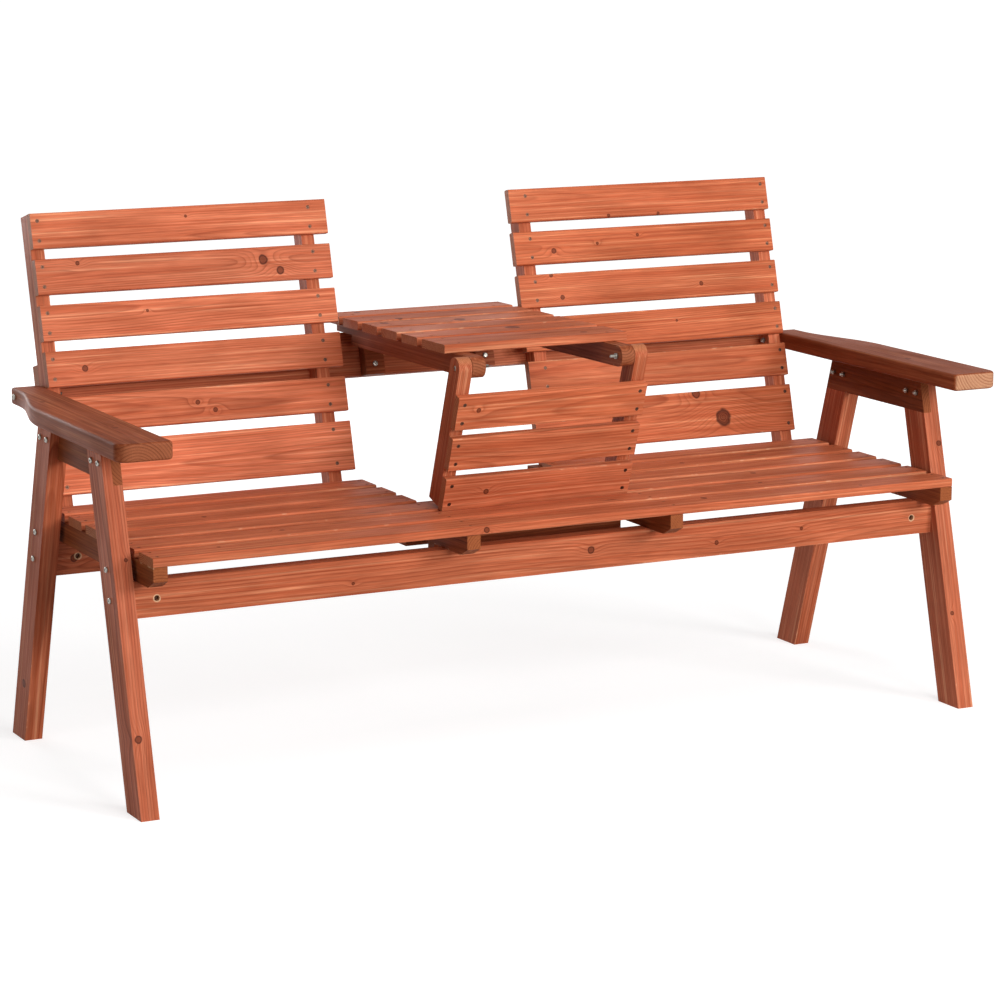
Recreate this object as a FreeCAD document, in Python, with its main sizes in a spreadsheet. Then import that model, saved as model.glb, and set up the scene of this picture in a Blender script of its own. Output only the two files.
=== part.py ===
import FreeCAD, Part
import math
import os
import sys
import Sketcher

# Companion seat bench: two slatted seats with a table between them. The table
# and the slatted leg that props it fold over together, and then they are the
# middle of the back and the middle of the seat.
# Millimetres. X runs along the bench, Y from front to back, Z up, and Z is 0 on
# the floor. In the sizes, a Y is measured from the front edge of the front feet;
# the model's own Y is 0 halfway from front to back.

SIZES = {
    # whole bench
    "width_over_legs": 1770.0,
    "foot_spread": 677.5,
    "seat_height": 462.0,
    "back_height": 997.0,
    # boards, by their section
    "slat_thick": 17.0,
    "slat_width": 68.0,
    "slat_round": 3.0,
    "wide_slat": 97.0,
    "batten_thick": 27.0,
    "batten_deep": 40.0,
    "rail_thick": 17.5,
    # legs
    "leg_thick": 35.0,
    "lap_over": 1.0,
    "leg_width": 67.0,
    "front_lean": 14.5,
    "rear_lean": 16.8,
    # armrests
    "armrest_height": 675.0,
    "armrest_thick": 33.0,
    "armrest_width": 102.0,
    "armrest_front": 7.0,
    "armrest_rear": 667.0,
    "tail_width": 58.0,
    "tail_curve_start": 600.0,
    "tail_curve_end": 440.0,
    "tail_curve_round": 300.0,
    "outer_corner_round": 25.0,
    "inner_corner_round": 8.0,
    "armrest_edge_round": 5.5,
    # aprons and joists
    "apron_thick": 33.0,
    "apron_high": 67.0,
    "joist_gap": 9.0,
    "joist_nose": 26.0,
    "joist_bevel": 28.0,
    "joist_rear": 610.0,
    "middle_bay": 402.0,
    "stretcher_front": 223.0,
    "support_front": 290.0,
    # seat and back
    "seat_front": 32.0,
    "seat_gap": 21.0,
    "back_lean": 15.0,
    "back_at_seat": 562.0,
    "back_gap": 20.0,
    "back_slat_inner": 204.0,
    "post_deep": 36.0,
    # cross rail behind the posts, and its guide blocks
    "cross_rail_drop": 282.2,
    "raised_high": 22.0,
    "raised_length": 406.0,
    "raised_back": 6.0,
    "block_width": 41.0,
    "guide_gap": 1.0,
    "block_high": 62.0,
    "block_thick": 25.0,
    "block_bolt": 21.0,
    # table
    "table_width": 387.0,
    "table_slope": 0.75,
    "table_edge": 51.0,
    "table_rail_end": 580.0,
    "table_rail_inner": 144.0,
    "notch_start": 510.0,
    "notch_high": 21.0,
    "end_round": 19.5,
    # slatted leg
    "leg_panel_lean": 18.4,
    "leg_panel_width": 398.0,
    "leg_panel_pitch": 85.0,
    "leg_panel_long": 282.0,
    "arm_foot_cut": 2.5,
    "foot_y": 196.5,
    "foot_z": 458.0,
    # bolts and nuts
    "bolt_radius": 3.0,
    "bolt_fit": 0.3,
    "pivot_fit": 0.05,
    "pivot_gap": 1.0,
    "pivot_play": 0.1,
    "pivot_sink": 4.0,
    "head_radius": 5.5,
    "head_high": 3.6,
    "head_round": 2.4,
    "nut_flats": 10.0,
    "nut_high": 5.0,
    "thread_end": 4.0,
    "pivot_thread_end": 10.0,
    "washer_radius": 9.0,
    "sleeve_radius": 7.0,
    "barrel_radius": 5.0,
    "barrel_length": 18.0,
    "barrel_depth": 47.0,
    "upper_bolt_height": 611.0,
    "upper_bolt_apart": 34.5,
    "joist_bolt_height": 425.0,
    "coach_low": 415.0,
    "coach_high": 435.0,
    "coach_long": 50.0,
    # screws
    "screw_radius": 2.0,
    "screw_fit": 0.3,
    "screw_long": 34.0,
    "screw_head_radius": 3.6,
    "screw_head_high": 2.4,
    "screw_sunk": 0.6,
    "screw_from_edge": 15.0,
    "long_screw": 60.0,
    "apron_screw_in": 9.0,
    "arm_screw_sink": 34.0,
    "arm_screw_front": 270.0,
    "arm_screw_rear": 378.0,
}

BACK_ROWS = 6
SEAT_ROWS = 6
LONG_ROWS = 3
PANEL_ROWS = 3
ORIGIN = FreeCAD.Vector(0, 0, 0)
AXIS_X = FreeCAD.Vector(1, 0, 0)
AXIS_Z = FreeCAD.Vector(0, 0, 1)
SIDES = (("left", -1), ("right", 1))

doc = FreeCAD.newDocument("companion_seat_bench")
sheet = doc.addObject("Spreadsheet::Sheet", "sizes")
parts = []


class Size:
    """A number in millimetres or degrees, with the expression that gives it."""

    def __init__(self, value, text):
        self.value = float(value)
        self.text = text

    def join(self, other, sign, value):
        text = other.text if isinstance(other, Size) else repr(float(other))
        return Size(value, f"({self.text} {sign} {text})")

    def __add__(self, other):
        return self.join(other, "+", self.value + number(other))

    def __sub__(self, other):
        return self.join(other, "-", self.value - number(other))

    def __mul__(self, other):
        return self.join(other, "*", self.value * number(other))

    def __truediv__(self, other):
        return self.join(other, "/", self.value / number(other))

    def __radd__(self, other):
        return plain(other) + self

    def __rsub__(self, other):
        return plain(other) - self

    def __rmul__(self, other):
        return self * other

    def __neg__(self):
        return self * -1


def number(size):
    return size.value if isinstance(size, Size) else float(size)


def plain(value):
    return Size(value, repr(float(value)))


def sine(angle):
    return Size(math.sin(math.radians(angle.value)), f"sin({angle.text} * 1 deg)")


def cosine(angle):
    return Size(math.cos(math.radians(angle.value)), f"cos({angle.text} * 1 deg)")


def tangent(angle):
    return Size(math.tan(math.radians(angle.value)), f"tan({angle.text} * 1 deg)")


def fill_sheet():
    """Puts every size in the sheet and returns them by name."""
    sizes = {}
    for row, (name, value) in enumerate(SIZES.items(), start=1):
        sheet.set(f"A{row}", name)
        sheet.set(f"B{row}", str(value))
        sheet.setAlias(f"B{row}", name)
        sizes[name] = Size(value, f"sizes.{name}")
    doc.recompute()
    return sizes


S = fill_sheet()
ZERO = plain(0)

# Places that follow from the sizes

HALF_WIDTH = S["width_over_legs"] / 2
LEG_INNER = HALF_WIDTH - S["leg_thick"]
JOIST_OUTER = LEG_INNER - S["joist_gap"]
JOIST_INNER = JOIST_OUTER - S["batten_thick"]
OUTER_POST_INNER = JOIST_INNER - S["batten_thick"]
BAY_EDGE = S["middle_bay"] / 2
MID_JOIST_OUTER = BAY_EDGE + S["batten_thick"]
INNER_POST_OUTER = MID_JOIST_OUTER + S["batten_thick"]
HALF_BATTEN = S["batten_thick"] / 2
END_JOIST_X = JOIST_INNER + HALF_BATTEN
MID_JOIST_X = BAY_EDGE + HALF_BATTEN
UNDER_SEAT = S["seat_height"] - S["slat_thick"]
JOIST_BOTTOM = UNDER_SEAT - S["batten_deep"]
APRON_MIDDLE = JOIST_BOTTOM - S["apron_high"] / 2
ARM_UNDER = S["armrest_height"] - S["armrest_thick"]
ARM_RAIL_LOW = ARM_UNDER - S["slat_width"]
SEAT_PITCH = S["slat_width"] + S["seat_gap"]
BACK_PITCH = S["slat_width"] + S["back_gap"]
POST_FRONT = S["slat_thick"]
POST_MIDDLE = POST_FRONT + S["post_deep"] / 2
POST_REAR = POST_FRONT + S["post_deep"]
BACK_TOP_Y = S["back_at_seat"] + (S["back_height"] - S["seat_height"]) * tangent(S["back_lean"])
REAR_END = BACK_TOP_Y + POST_REAR * cosine(S["back_lean"])
MIDDLE_Y = (REAR_END - S["armrest_front"]) / 2
FRONT_LEG_HALF = S["leg_width"] / cosine(S["front_lean"]) / 2
REAR_LEG_HALF = S["leg_width"] / cosine(S["rear_lean"]) / 2
HALF_DEEP = S["batten_deep"] / 2
FACE_TO_PIVOT = S["slat_thick"] + HALF_DEEP
PANEL_TURN = 90 + S["leg_panel_lean"]
PANEL_SINE = sine(S["leg_panel_lean"])
PANEL_COSINE = cosine(S["leg_panel_lean"])
PIVOT_Y = S["foot_y"] - S["leg_panel_long"] * PANEL_SINE + FACE_TO_PIVOT * PANEL_COSINE
PIVOT_Z = S["foot_z"] + S["leg_panel_long"] * PANEL_COSINE + FACE_TO_PIVOT * PANEL_SINE
TABLE_RAIL_OUTER = S["table_rail_inner"] + S["batten_thick"]
ARM_INNER = TABLE_RAIL_OUTER + S["pivot_gap"]
ARM_OUTER = ARM_INNER + S["batten_thick"]
BOLT_HOLE = S["bolt_radius"] + S["bolt_fit"]
PIVOT_HOLE = S["bolt_radius"] + S["pivot_fit"]
SCREW_HOLE = S["screw_radius"] + S["screw_fit"]
SCREW_SINK = S["screw_head_radius"] + S["screw_fit"]


def front_leg(height):
    """Y of a front leg's middle at a height."""
    return FRONT_LEG_HALF + height * tangent(S["front_lean"])


def rear_leg(height):
    return S["foot_spread"] - REAR_LEG_HALF - height * tangent(S["rear_lean"])


def behind_back(offset, height):
    """Y of the plane that lies offset behind the back slats' faces, at a height."""
    rise = height - S["seat_height"]
    return S["back_at_seat"] + rise * tangent(S["back_lean"]) + offset / cosine(S["back_lean"])


def back_point(offset, down):
    """Y and Z of a point behind the slats' faces and down the slope from the top."""
    lean = S["back_lean"]
    y = BACK_TOP_Y + offset * cosine(lean) - down * sine(lean)
    z = S["back_height"] - offset * sine(lean) - down * cosine(lean)
    return y, z


# Bodies, sketches and features


def new_body(label):
    body = doc.addObject("PartDesign::Body", label)
    body.Label = label
    parts.append(body)
    return body


def place(part, x, y, z, turn=None):
    """Moves a part, and turns it about X; its place stays bound to the sheet."""
    degrees = turn.value if turn else 0.0
    part.Placement = FreeCAD.Placement(ORIGIN, FreeCAD.Rotation(AXIS_X, degrees))
    for axis, size in (("x", x), ("y", y - MIDDLE_Y), ("z", z)):
        part.setExpression(f".Placement.Base.{axis}", size.text)
    if turn:
        part.setExpression(".Placement.Rotation.Angle", turn.text + " * 1 deg")
    doc.recompute()


def bound_sketch(body, role, outline=(), circles=(), raised=None):
    """A sketch on one of the body's origin planes, every size of it bound."""
    sketch = body.newObject("Sketcher::SketchObject", body.Name + "_sketch")
    plane = next(f for f in body.Origin.OriginFeatures if f.Role == role)
    sketch.AttachmentSupport = (plane, [""])
    sketch.MapMode = "FlatFace"
    if raised is not None:
        sketch.AttachmentOffset = FreeCAD.Placement(AXIS_Z * raised.value, FreeCAD.Rotation())
        sketch.setExpression(".AttachmentOffset.Base.z", raised.text)
    points = [FreeCAD.Vector(u.value, v.value, 0) for u, v in outline]
    count = len(points)
    for index in range(count):
        sketch.addGeometry(Part.LineSegment(points[index], points[(index + 1) % count]), False)
    for index in range(count):
        sketch.addConstraint(Sketcher.Constraint("Coincident", index, 2, (index + 1) % count, 1))
    for index, (u, v) in enumerate(outline):
        bind_point(sketch, index, 1, u, v)
    for u, v, radius in circles:
        centre = FreeCAD.Vector(u.value, v.value, 0)
        index = sketch.addGeometry(Part.Circle(centre, AXIS_Z, radius.value), False)
        bind_point(sketch, index, 3, u, v)
        bind(sketch, Sketcher.Constraint("Radius", index, radius.value), radius)
    return sketch


def bind_point(sketch, geometry, end, u, v):
    for kind, size in (("DistanceX", u), ("DistanceY", v)):
        bind(sketch, Sketcher.Constraint(kind, -1, 1, geometry, end, size.value), size)


def bind(sketch, constraint, size):
    index = sketch.addConstraint(constraint)
    sketch.setExpression(f"Constraints[{index}]", size.text)


def pad(body, sketch, length, reverse=False):
    feature = body.newObject("PartDesign::Pad", body.Name + "_pad")
    feature.Profile = sketch
    feature.setExpression("Length", length.text)
    feature.Reversed = reverse
    doc.recompute()


def pocket(body, sketch, length, reverse=False):
    """Cuts a sketch into the body, and stops if nothing was cut."""
    before = body.Shape.Volume
    feature = body.newObject("PartDesign::Pocket", body.Name + "_pocket")
    feature.Profile = sketch
    feature.setExpression("Length", length.text)
    feature.Reversed = reverse
    doc.recompute()
    if body.Shape.Volume > before - 1:
        sys.exit(f"{body.Label}: a pocket cut nothing")


def round_edges(body, wanted, radius):
    """Rounds the edges of the body that wanted picks by their two end points."""
    names = []
    for index, edge in enumerate(body.Shape.Edges, start=1):
        ends = [vertex.Point for vertex in edge.Vertexes]
        if wanted(ends[0], ends[-1]):
            names.append(f"Edge{index}")
    base = body.Tip
    feature = body.newObject("PartDesign::Fillet", body.Name + "_round")
    feature.Base = (base, names)
    feature.setExpression("Radius", radius.text)
    doc.recompute()


def near(one, other):
    return abs(one - other) < 0.01


def along_x(start, end):
    return near(start.y, end.y) and near(start.z, end.z)


def level(start, end):
    return near(start.z, end.z)


def along_x_at(*corners):
    """Picks the edges along X that pass through one of the given Y and Z."""

    def wanted(start, end):
        hits = [near(start.y, y.value) and near(start.z, z.value) for y, z in corners]
        return along_x(start, end) and any(hits)

    return wanted


def upright_at(*corners):
    """Picks the upright edges at one of the given X and Y."""

    def wanted(start, end):
        hits = [near(start.x, x.value) and near(start.y, y.value) for x, y in corners]
        return near(start.x, end.x) and near(start.y, end.y) and any(hits)

    return wanted


def box_outline(left, low, right, high):
    return [(left, low), (right, low), (right, high), (left, high)]


def prism(label, outline, thick, circles=(), reverse=False):
    """A board whose outline lies in the YZ plane, with holes through it."""
    body = new_body(label)
    pad(body, bound_sketch(body, "YZ_Plane", outline, circles), thick, reverse)
    return body


def low_x(side, inner, outer):
    """The low-X face of a board that lies between inner and outer on one side."""
    return inner if side > 0 else -outer


# Fasteners: each list holds the solids of one node

bench_fasteners = []
table_fasteners = []
leg_panel_fasteners = []


def point(x, y, z):
    """A place in the model from an X, a Y from the front feet and a Z."""
    return FreeCAD.Vector(x.value, y.value - MIDDLE_Y.value, z.value)


def pointing(solid, start, direction):
    """Moves a solid that was built up the Z axis to start, pointing along direction."""
    solid.Placement = FreeCAD.Placement(start, FreeCAD.Rotation(AXIS_Z, direction))
    return solid


def domed_bolt(length):
    """A bolt that enters along +Z: its head lies below Z 0 and its shank above."""
    high = S["head_high"].value
    head = Part.makeCylinder(S["head_radius"].value, high, AXIS_Z * -high)
    crown = [edge for edge in head.Edges if near(edge.CenterOfMass.z, -high)]
    head = head.makeFillet(S["head_round"].value, crown)
    shank = Part.makeCylinder(S["bolt_radius"].value, length)
    return head.fuse(shank).removeSplitter()


def hex_block(high):
    """A six-sided block on the XY plane, standing up the Z axis."""
    reach = S["nut_flats"].value / math.sqrt(3)
    turns = [math.radians(turn) for turn in range(0, 420, 60)]
    corners = [FreeCAD.Vector(reach * math.cos(t), reach * math.sin(t), 0) for t in turns]
    return Part.Face(Part.makePolygon(corners)).extrude(AXIS_Z * high)


def hex_nut():
    high = S["nut_high"].value
    return hex_block(high).cut(Part.makeCylinder(PIVOT_HOLE.value, high))


def ring(outer, inner, high):
    return Part.makeCylinder(outer, high).cut(Part.makeCylinder(inner, high))


def bolt_and_nut(group, head, nut, thread_end="thread_end"):
    """A bolt with its head's underside at head and its nut beyond the point nut."""
    direction = nut.sub(head)
    length = direction.Length + S["nut_high"].value + S[thread_end].value
    group.append(pointing(domed_bolt(length), head, direction))
    group.append(pointing(hex_nut(), nut, direction))


def coach_screw(start, direction):
    """A screw with a six-sided head that stands on the wood."""
    high = S["screw_head_high"].value * 1.5
    head = hex_block(high)
    head.translate(AXIS_Z * -high)
    shank = Part.makeCylinder(S["bolt_radius"].value, S["coach_long"].value)
    solid = head.fuse(shank).removeSplitter()
    bench_fasteners.append(pointing(solid, start, direction))


def wood_screw(group, start, direction, length):
    """A screw whose head's top is at start."""
    head = Part.makeCylinder(S["screw_head_radius"].value, S["screw_head_high"].value)
    shank = Part.makeCylinder(S["screw_radius"].value, length.value)
    solid = head.fuse(shank).removeSplitter()
    group.append(pointing(solid, start, direction))


def proud_screw(start, direction):
    """A long screw whose head stands on the wood at start."""
    lifted = start - direction * S["screw_head_high"].value
    wood_screw(bench_fasteners, lifted, direction, S["long_screw"])


def slat(label, width, length, x, y, z, turn, spots, group):
    """A board with rounded long edges, screwed down through its face.

    Its face is the local XY plane and looks up the local Z axis; spots are the
    screws' local X places, each with two screws across the width.
    """
    body = new_body(label)
    outline = box_outline(ZERO, -S["slat_thick"], width, ZERO)
    pad(body, bound_sketch(body, "YZ_Plane", outline), length)
    round_edges(body, along_x, S["slat_round"])
    rows = (S["screw_from_edge"], width - S["screw_from_edge"])
    places = [(spot, row) for spot in spots for row in rows]
    sinks = [(u, v, SCREW_SINK) for u, v in places]
    pocket(body, bound_sketch(body, "XY_Plane", (), sinks), S["screw_sunk"] + S["screw_head_high"])
    holes = [(u, v, SCREW_HOLE) for u, v in places]
    pocket(body, bound_sketch(body, "XY_Plane", (), holes), S["slat_thick"])
    place(body, x, y, z, turn)
    into = body.Placement.Rotation.multVec(-AXIS_Z)
    for u, v in places:
        start = body.Placement.multVec(FreeCAD.Vector(u.value, v.value, -S["screw_sunk"].value))
        wood_screw(group, start, into, S["screw_long"])


# Legs, arm rails and armrests


def leg(name, middle, half, ending, side):
    """A leaning leg, halved at the top on its inner side for the arm rail."""
    top = middle(ARM_UNDER)
    outline = [
        (middle(ZERO) - half, ZERO),
        (middle(ZERO) + half, ZERO),
        (top + half, ARM_UNDER),
        (top - half, ARM_UNDER),
    ]
    upper = S["upper_bolt_height"]
    apart = S["upper_bolt_apart"] / 2
    joist_bolt = S["joist_bolt_height"]
    holes = [
        (middle(upper) - apart, upper, BOLT_HOLE),
        (middle(upper) + apart, upper, BOLT_HOLE),
        (middle(joist_bolt), joist_bolt, BOLT_HOLE),
        (middle(APRON_MIDDLE), APRON_MIDDLE, BOLT_HOLE),
    ]
    body = prism(f"{name}_leg_{ending}", outline, S["leg_thick"], holes, reverse=side > 0)
    lap = box_outline(ZERO, ARM_RAIL_LOW, S["foot_spread"], ARM_UNDER + S["lap_over"])
    lap_depth = (S["leg_thick"] - S["rail_thick"]) * -side
    cut = bound_sketch(body, "YZ_Plane", lap, raised=lap_depth)
    pocket(body, cut, S["rail_thick"], reverse=side < 0)
    place(body, HALF_WIDTH * side, ZERO, ZERO)
    leg_bolts(middle, side)


def leg_bolts(middle, side):
    head = HALF_WIDTH * side
    upper = S["upper_bolt_height"]
    for shift in (-1, 1):
        y = middle(upper) + S["upper_bolt_apart"] / 2 * shift
        bolt_and_nut(bench_fasteners, point(head, y, upper), point(LEG_INNER * side, y, upper))
    z = S["joist_bolt_height"]
    y = middle(z)
    bolt_and_nut(bench_fasteners, point(head, y, z), point(JOIST_INNER * side, y, z))
    sleeve = ring(S["sleeve_radius"].value, BOLT_HOLE.value, S["joist_gap"].value)
    bench_fasteners.append(pointing(sleeve, point(LEG_INNER * side, y, z), AXIS_X * -side))
    apron_bolt(point(head, middle(APRON_MIDDLE), APRON_MIDDLE), AXIS_X * -side)


def apron_bolt(head, inward):
    """The bolt that holds an apron's end, and the cross nut inside the apron."""
    reach = S["leg_thick"].value + S["barrel_depth"].value
    length = reach + S["barrel_radius"].value
    half = S["barrel_length"].value / 2
    start = head + inward * reach - FreeCAD.Vector(0, half, 0)
    barrel = Part.makeCylinder(S["barrel_radius"].value, half * 2, start, FreeCAD.Vector(0, 1, 0))
    thread = Part.makeCylinder(PIVOT_HOLE.value, length + 1, head, inward)
    bench_fasteners.append(pointing(domed_bolt(length), head, inward))
    bench_fasteners.append(barrel.cut(thread))


def legs():
    for ending, side in SIDES:
        leg("front", front_leg, FRONT_LEG_HALF, ending, side)
        leg("rear", rear_leg, REAR_LEG_HALF, ending, side)


def arm_rails():
    """The rails let into the legs' tops; screws rise through them into the armrests."""
    outline = [
        (front_leg(ARM_RAIL_LOW) - FRONT_LEG_HALF, ARM_RAIL_LOW),
        (rear_leg(ARM_RAIL_LOW) + REAR_LEG_HALF, ARM_RAIL_LOW),
        (rear_leg(ARM_UNDER) + REAR_LEG_HALF, ARM_UNDER),
        (front_leg(ARM_UNDER) - FRONT_LEG_HALF, ARM_UNDER),
    ]
    upper = S["upper_bolt_height"]
    apart = S["upper_bolt_apart"] / 2
    middles = (front_leg(upper), rear_leg(upper))
    holes = [(middle + apart * shift, upper, BOLT_HOLE) for middle in middles for shift in (-1, 1)]
    across = S["rail_thick"] / 2
    spots = (S["arm_screw_front"], S["arm_screw_rear"])
    head_top = ARM_RAIL_LOW + S["arm_screw_sink"] - S["screw_head_high"]
    for ending, side in SIDES:
        body = prism(f"arm_rail_{ending}", outline, S["rail_thick"], holes)
        sinks = [(across, y, SCREW_SINK) for y in spots]
        drills = [(across, y, SCREW_HOLE) for y in spots]
        low_sketch = bound_sketch(body, "XY_Plane", (), sinks, raised=ARM_RAIL_LOW)
        pocket(body, low_sketch, S["arm_screw_sink"], reverse=True)
        through = bound_sketch(body, "XY_Plane", (), drills, raised=ARM_RAIL_LOW)
        pocket(body, through, S["slat_width"], reverse=True)
        place(body, low_x(side, LEG_INNER, LEG_INNER + S["rail_thick"]), ZERO, ZERO)
        for y in spots:
            start = point((LEG_INNER + across) * side, y, head_top)
            wood_screw(bench_fasteners, start, AXIS_Z, S["long_screw"])


def armrests():
    """Broad at the front; a narrow tail runs past the outer post and is bolted to it."""
    half_thick = S["armrest_thick"] / 2
    bolt_z = ARM_UNDER + half_thick
    bolt_y = behind_back(POST_MIDDLE, bolt_z)
    for ending, side in SIDES:
        inner = JOIST_INNER * side
        tail = (JOIST_INNER + S["tail_width"]) * side
        outer = (JOIST_INNER + S["armrest_width"]) * side
        front = -S["armrest_front"]
        outline = [
            (inner, front),
            (outer, front),
            (outer, S["tail_curve_end"]),
            (tail, S["tail_curve_start"]),
            (tail, S["armrest_rear"]),
            (inner, S["armrest_rear"]),
        ]
        body = new_body(f"armrest_{ending}")
        pad(body, bound_sketch(body, "XY_Plane", outline), S["armrest_thick"])
        round_edges(body, upright_at(outline[2], outline[3]), S["tail_curve_round"])
        round_edges(body, upright_at(outline[1]), S["outer_corner_round"])
        round_edges(body, upright_at(outline[0]), S["inner_corner_round"])
        round_edges(body, level, S["armrest_edge_round"])
        drill = bound_sketch(body, "YZ_Plane", (), [(bolt_y, half_thick, BOLT_HOLE)], raised=inner)
        pocket(body, drill, S["armrest_width"], reverse=side > 0)
        place(body, ZERO, ZERO, ARM_UNDER)
        nut = point(OUTER_POST_INNER * side, bolt_y, bolt_z)
        bolt_and_nut(bench_fasteners, point(tail, bolt_y, bolt_z), nut)


# Aprons, joists and the boards under the middle


def apron(label, middle):
    """A board between two legs, held by a bolt and a cross nut at each end."""
    outline = box_outline(-LEG_INNER, APRON_MIDDLE - S["apron_high"] / 2, LEG_INNER, JOIST_BOTTOM)
    barrel_x = LEG_INNER - S["barrel_depth"]
    barrel_hole = S["barrel_radius"] + S["bolt_fit"]
    holes = [(barrel_x * side, APRON_MIDDLE, barrel_hole) for _, side in SIDES]
    body = new_body(label)
    pad(body, bound_sketch(body, "XZ_Plane", outline, holes), S["apron_thick"], reverse=True)
    spot = [(S["apron_thick"] / 2, APRON_MIDDLE, BOLT_HOLE)]
    depth = S["barrel_depth"] + S["barrel_radius"] * 2
    for _, side in SIDES:
        drill = bound_sketch(body, "YZ_Plane", (), spot, raised=LEG_INNER * side)
        pocket(body, drill, depth, reverse=side < 0)
    place(body, ZERO, middle - S["apron_thick"] / 2, ZERO)


def aprons():
    apron("front_apron", front_leg(APRON_MIDDLE))
    apron("rear_apron", rear_leg(APRON_MIDDLE))


def coach_spots():
    """Y and Z of the two screws that hold a post to its joist."""
    return [(behind_back(POST_MIDDLE, z), z) for z in (S["coach_low"], S["coach_high"])]


def stretcher_spots():
    """Y and Z of the two screws that hold an end of the stretcher."""
    return [(S["stretcher_front"] + HALF_BATTEN, z) for z in (S["coach_low"], S["coach_high"])]


def joist(label, x, middle_x, holes):
    """A seat joist with a bevelled nose, screwed down to both aprons."""
    outline = [
        (S["seat_front"], UNDER_SEAT),
        (S["seat_front"], UNDER_SEAT - S["joist_nose"]),
        (S["seat_front"] + S["joist_bevel"], JOIST_BOTTOM),
        (S["joist_rear"], JOIST_BOTTOM),
        (S["joist_rear"], UNDER_SEAT),
    ]
    body = prism(label, outline, S["batten_thick"], holes)
    in_apron = S["apron_thick"] / 2 - S["apron_screw_in"]
    spots = (front_leg(APRON_MIDDLE) - in_apron, rear_leg(APRON_MIDDLE) + in_apron)
    sinks = [(HALF_BATTEN, y, SCREW_SINK) for y in spots]
    drills = [(HALF_BATTEN, y, SCREW_HOLE) for y in spots]
    sink_depth = S["screw_sunk"] + S["screw_head_high"]
    pocket(body, bound_sketch(body, "XY_Plane", (), sinks, raised=UNDER_SEAT), sink_depth)
    pocket(body, bound_sketch(body, "XY_Plane", (), drills, raised=UNDER_SEAT), S["batten_deep"])
    place(body, x, ZERO, ZERO)
    for y in spots:
        start = point(middle_x, y, UNDER_SEAT - S["screw_sunk"])
        wood_screw(bench_fasteners, start, -AXIS_Z, S["long_screw"])


def joists():
    z = S["joist_bolt_height"]
    leg_holes = [(middle(z), z, BOLT_HOLE) for middle in (front_leg, rear_leg)]
    stretcher_holes = [(y, z, SCREW_HOLE) for y, z in stretcher_spots()]
    for ending, side in SIDES:
        x = low_x(side, JOIST_INNER, JOIST_OUTER)
        joist(f"end_joist_{ending}", x, END_JOIST_X * side, leg_holes)
        x = low_x(side, BAY_EDGE, MID_JOIST_OUTER)
        joist(f"middle_joist_{ending}", x, MID_JOIST_X * side, stretcher_holes)


def centre_stretcher():
    """The board on edge that keeps the middle joists apart."""
    front = S["stretcher_front"]
    rear = front + S["batten_thick"]
    outline = box_outline(front, UNDER_SEAT - S["slat_width"], rear, UNDER_SEAT)
    body = prism("centre_stretcher", outline, S["middle_bay"])
    place(body, -BAY_EDGE, ZERO, ZERO)
    for _, side in SIDES:
        for y, z in stretcher_spots():
            proud_screw(point(MID_JOIST_OUTER * side, y, z), AXIS_X * -side)


def support_board():
    """The flat board under the middle joists that the folded leg lies on."""
    front = S["support_front"]
    low = JOIST_BOTTOM - S["batten_thick"]
    spots = (front + S["screw_from_edge"], front + S["slat_width"] - S["screw_from_edge"])
    holes = [(MID_JOIST_X * side, y, SCREW_HOLE) for _, side in SIDES for y in spots]
    outline = box_outline(-MID_JOIST_OUTER, front, MID_JOIST_OUTER, front + S["slat_width"])
    body = new_body("support_board")
    pad(body, bound_sketch(body, "XY_Plane", outline, holes), S["batten_thick"])
    place(body, ZERO, ZERO, low)
    for x, y, _ in holes:
        proud_screw(point(x, y, low), AXIS_Z)


# Seat and back


def seat():
    """Rows from front to back; the rear rows leave the middle bay open."""
    ends = (-END_JOIST_X, -MID_JOIST_X, MID_JOIST_X, END_JOIST_X)
    long_spots = [JOIST_OUTER + x for x in ends]
    short = JOIST_OUTER - BAY_EDGE
    short_spots = [HALF_BATTEN, short - HALF_BATTEN]
    top = S["seat_height"]
    for row in range(1, SEAT_ROWS + 1):
        y = S["seat_front"] + SEAT_PITCH * (row - 1)
        if row <= LONG_ROWS:
            slat(
                f"seat_slat_{row}", S["slat_width"], JOIST_OUTER * 2, -JOIST_OUTER, y, top,
                None, long_spots, bench_fasteners,
            )
            continue
        for ending, side in SIDES:
            x = low_x(side, BAY_EDGE, JOIST_OUTER)
            slat(
                f"seat_slat_{row}_{ending}", S["slat_width"], short, x, y, top,
                None, short_spots, bench_fasteners,
            )


def posts():
    """The outer posts stand against the end joists, the inner ones against the middle."""
    outline = [
        (behind_back(POST_FRONT, JOIST_BOTTOM), JOIST_BOTTOM),
        (behind_back(POST_REAR, JOIST_BOTTOM), JOIST_BOTTOM),
        back_point(POST_REAR, ZERO),
        back_point(POST_FRONT, ZERO),
    ]
    joist_holes = [(y, z, BOLT_HOLE) for y, z in coach_spots()]
    arm_z = ARM_UNDER + S["armrest_thick"] / 2
    arm_hole = [(behind_back(POST_MIDDLE, arm_z), arm_z, BOLT_HOLE)]
    for ending, side in SIDES:
        body = prism(f"outer_post_{ending}", outline, S["batten_thick"], joist_holes + arm_hole)
        place(body, low_x(side, OUTER_POST_INNER, JOIST_INNER), ZERO, ZERO)
        body = prism(f"inner_post_{ending}", outline, S["batten_thick"], joist_holes)
        place(body, low_x(side, MID_JOIST_OUTER, INNER_POST_OUTER), ZERO, ZERO)
        for y, z in coach_spots():
            coach_screw(point(OUTER_POST_INNER * side, y, z), AXIS_X * side)
            coach_screw(point(INNER_POST_OUTER * side, y, z), AXIS_X * -side)


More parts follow.
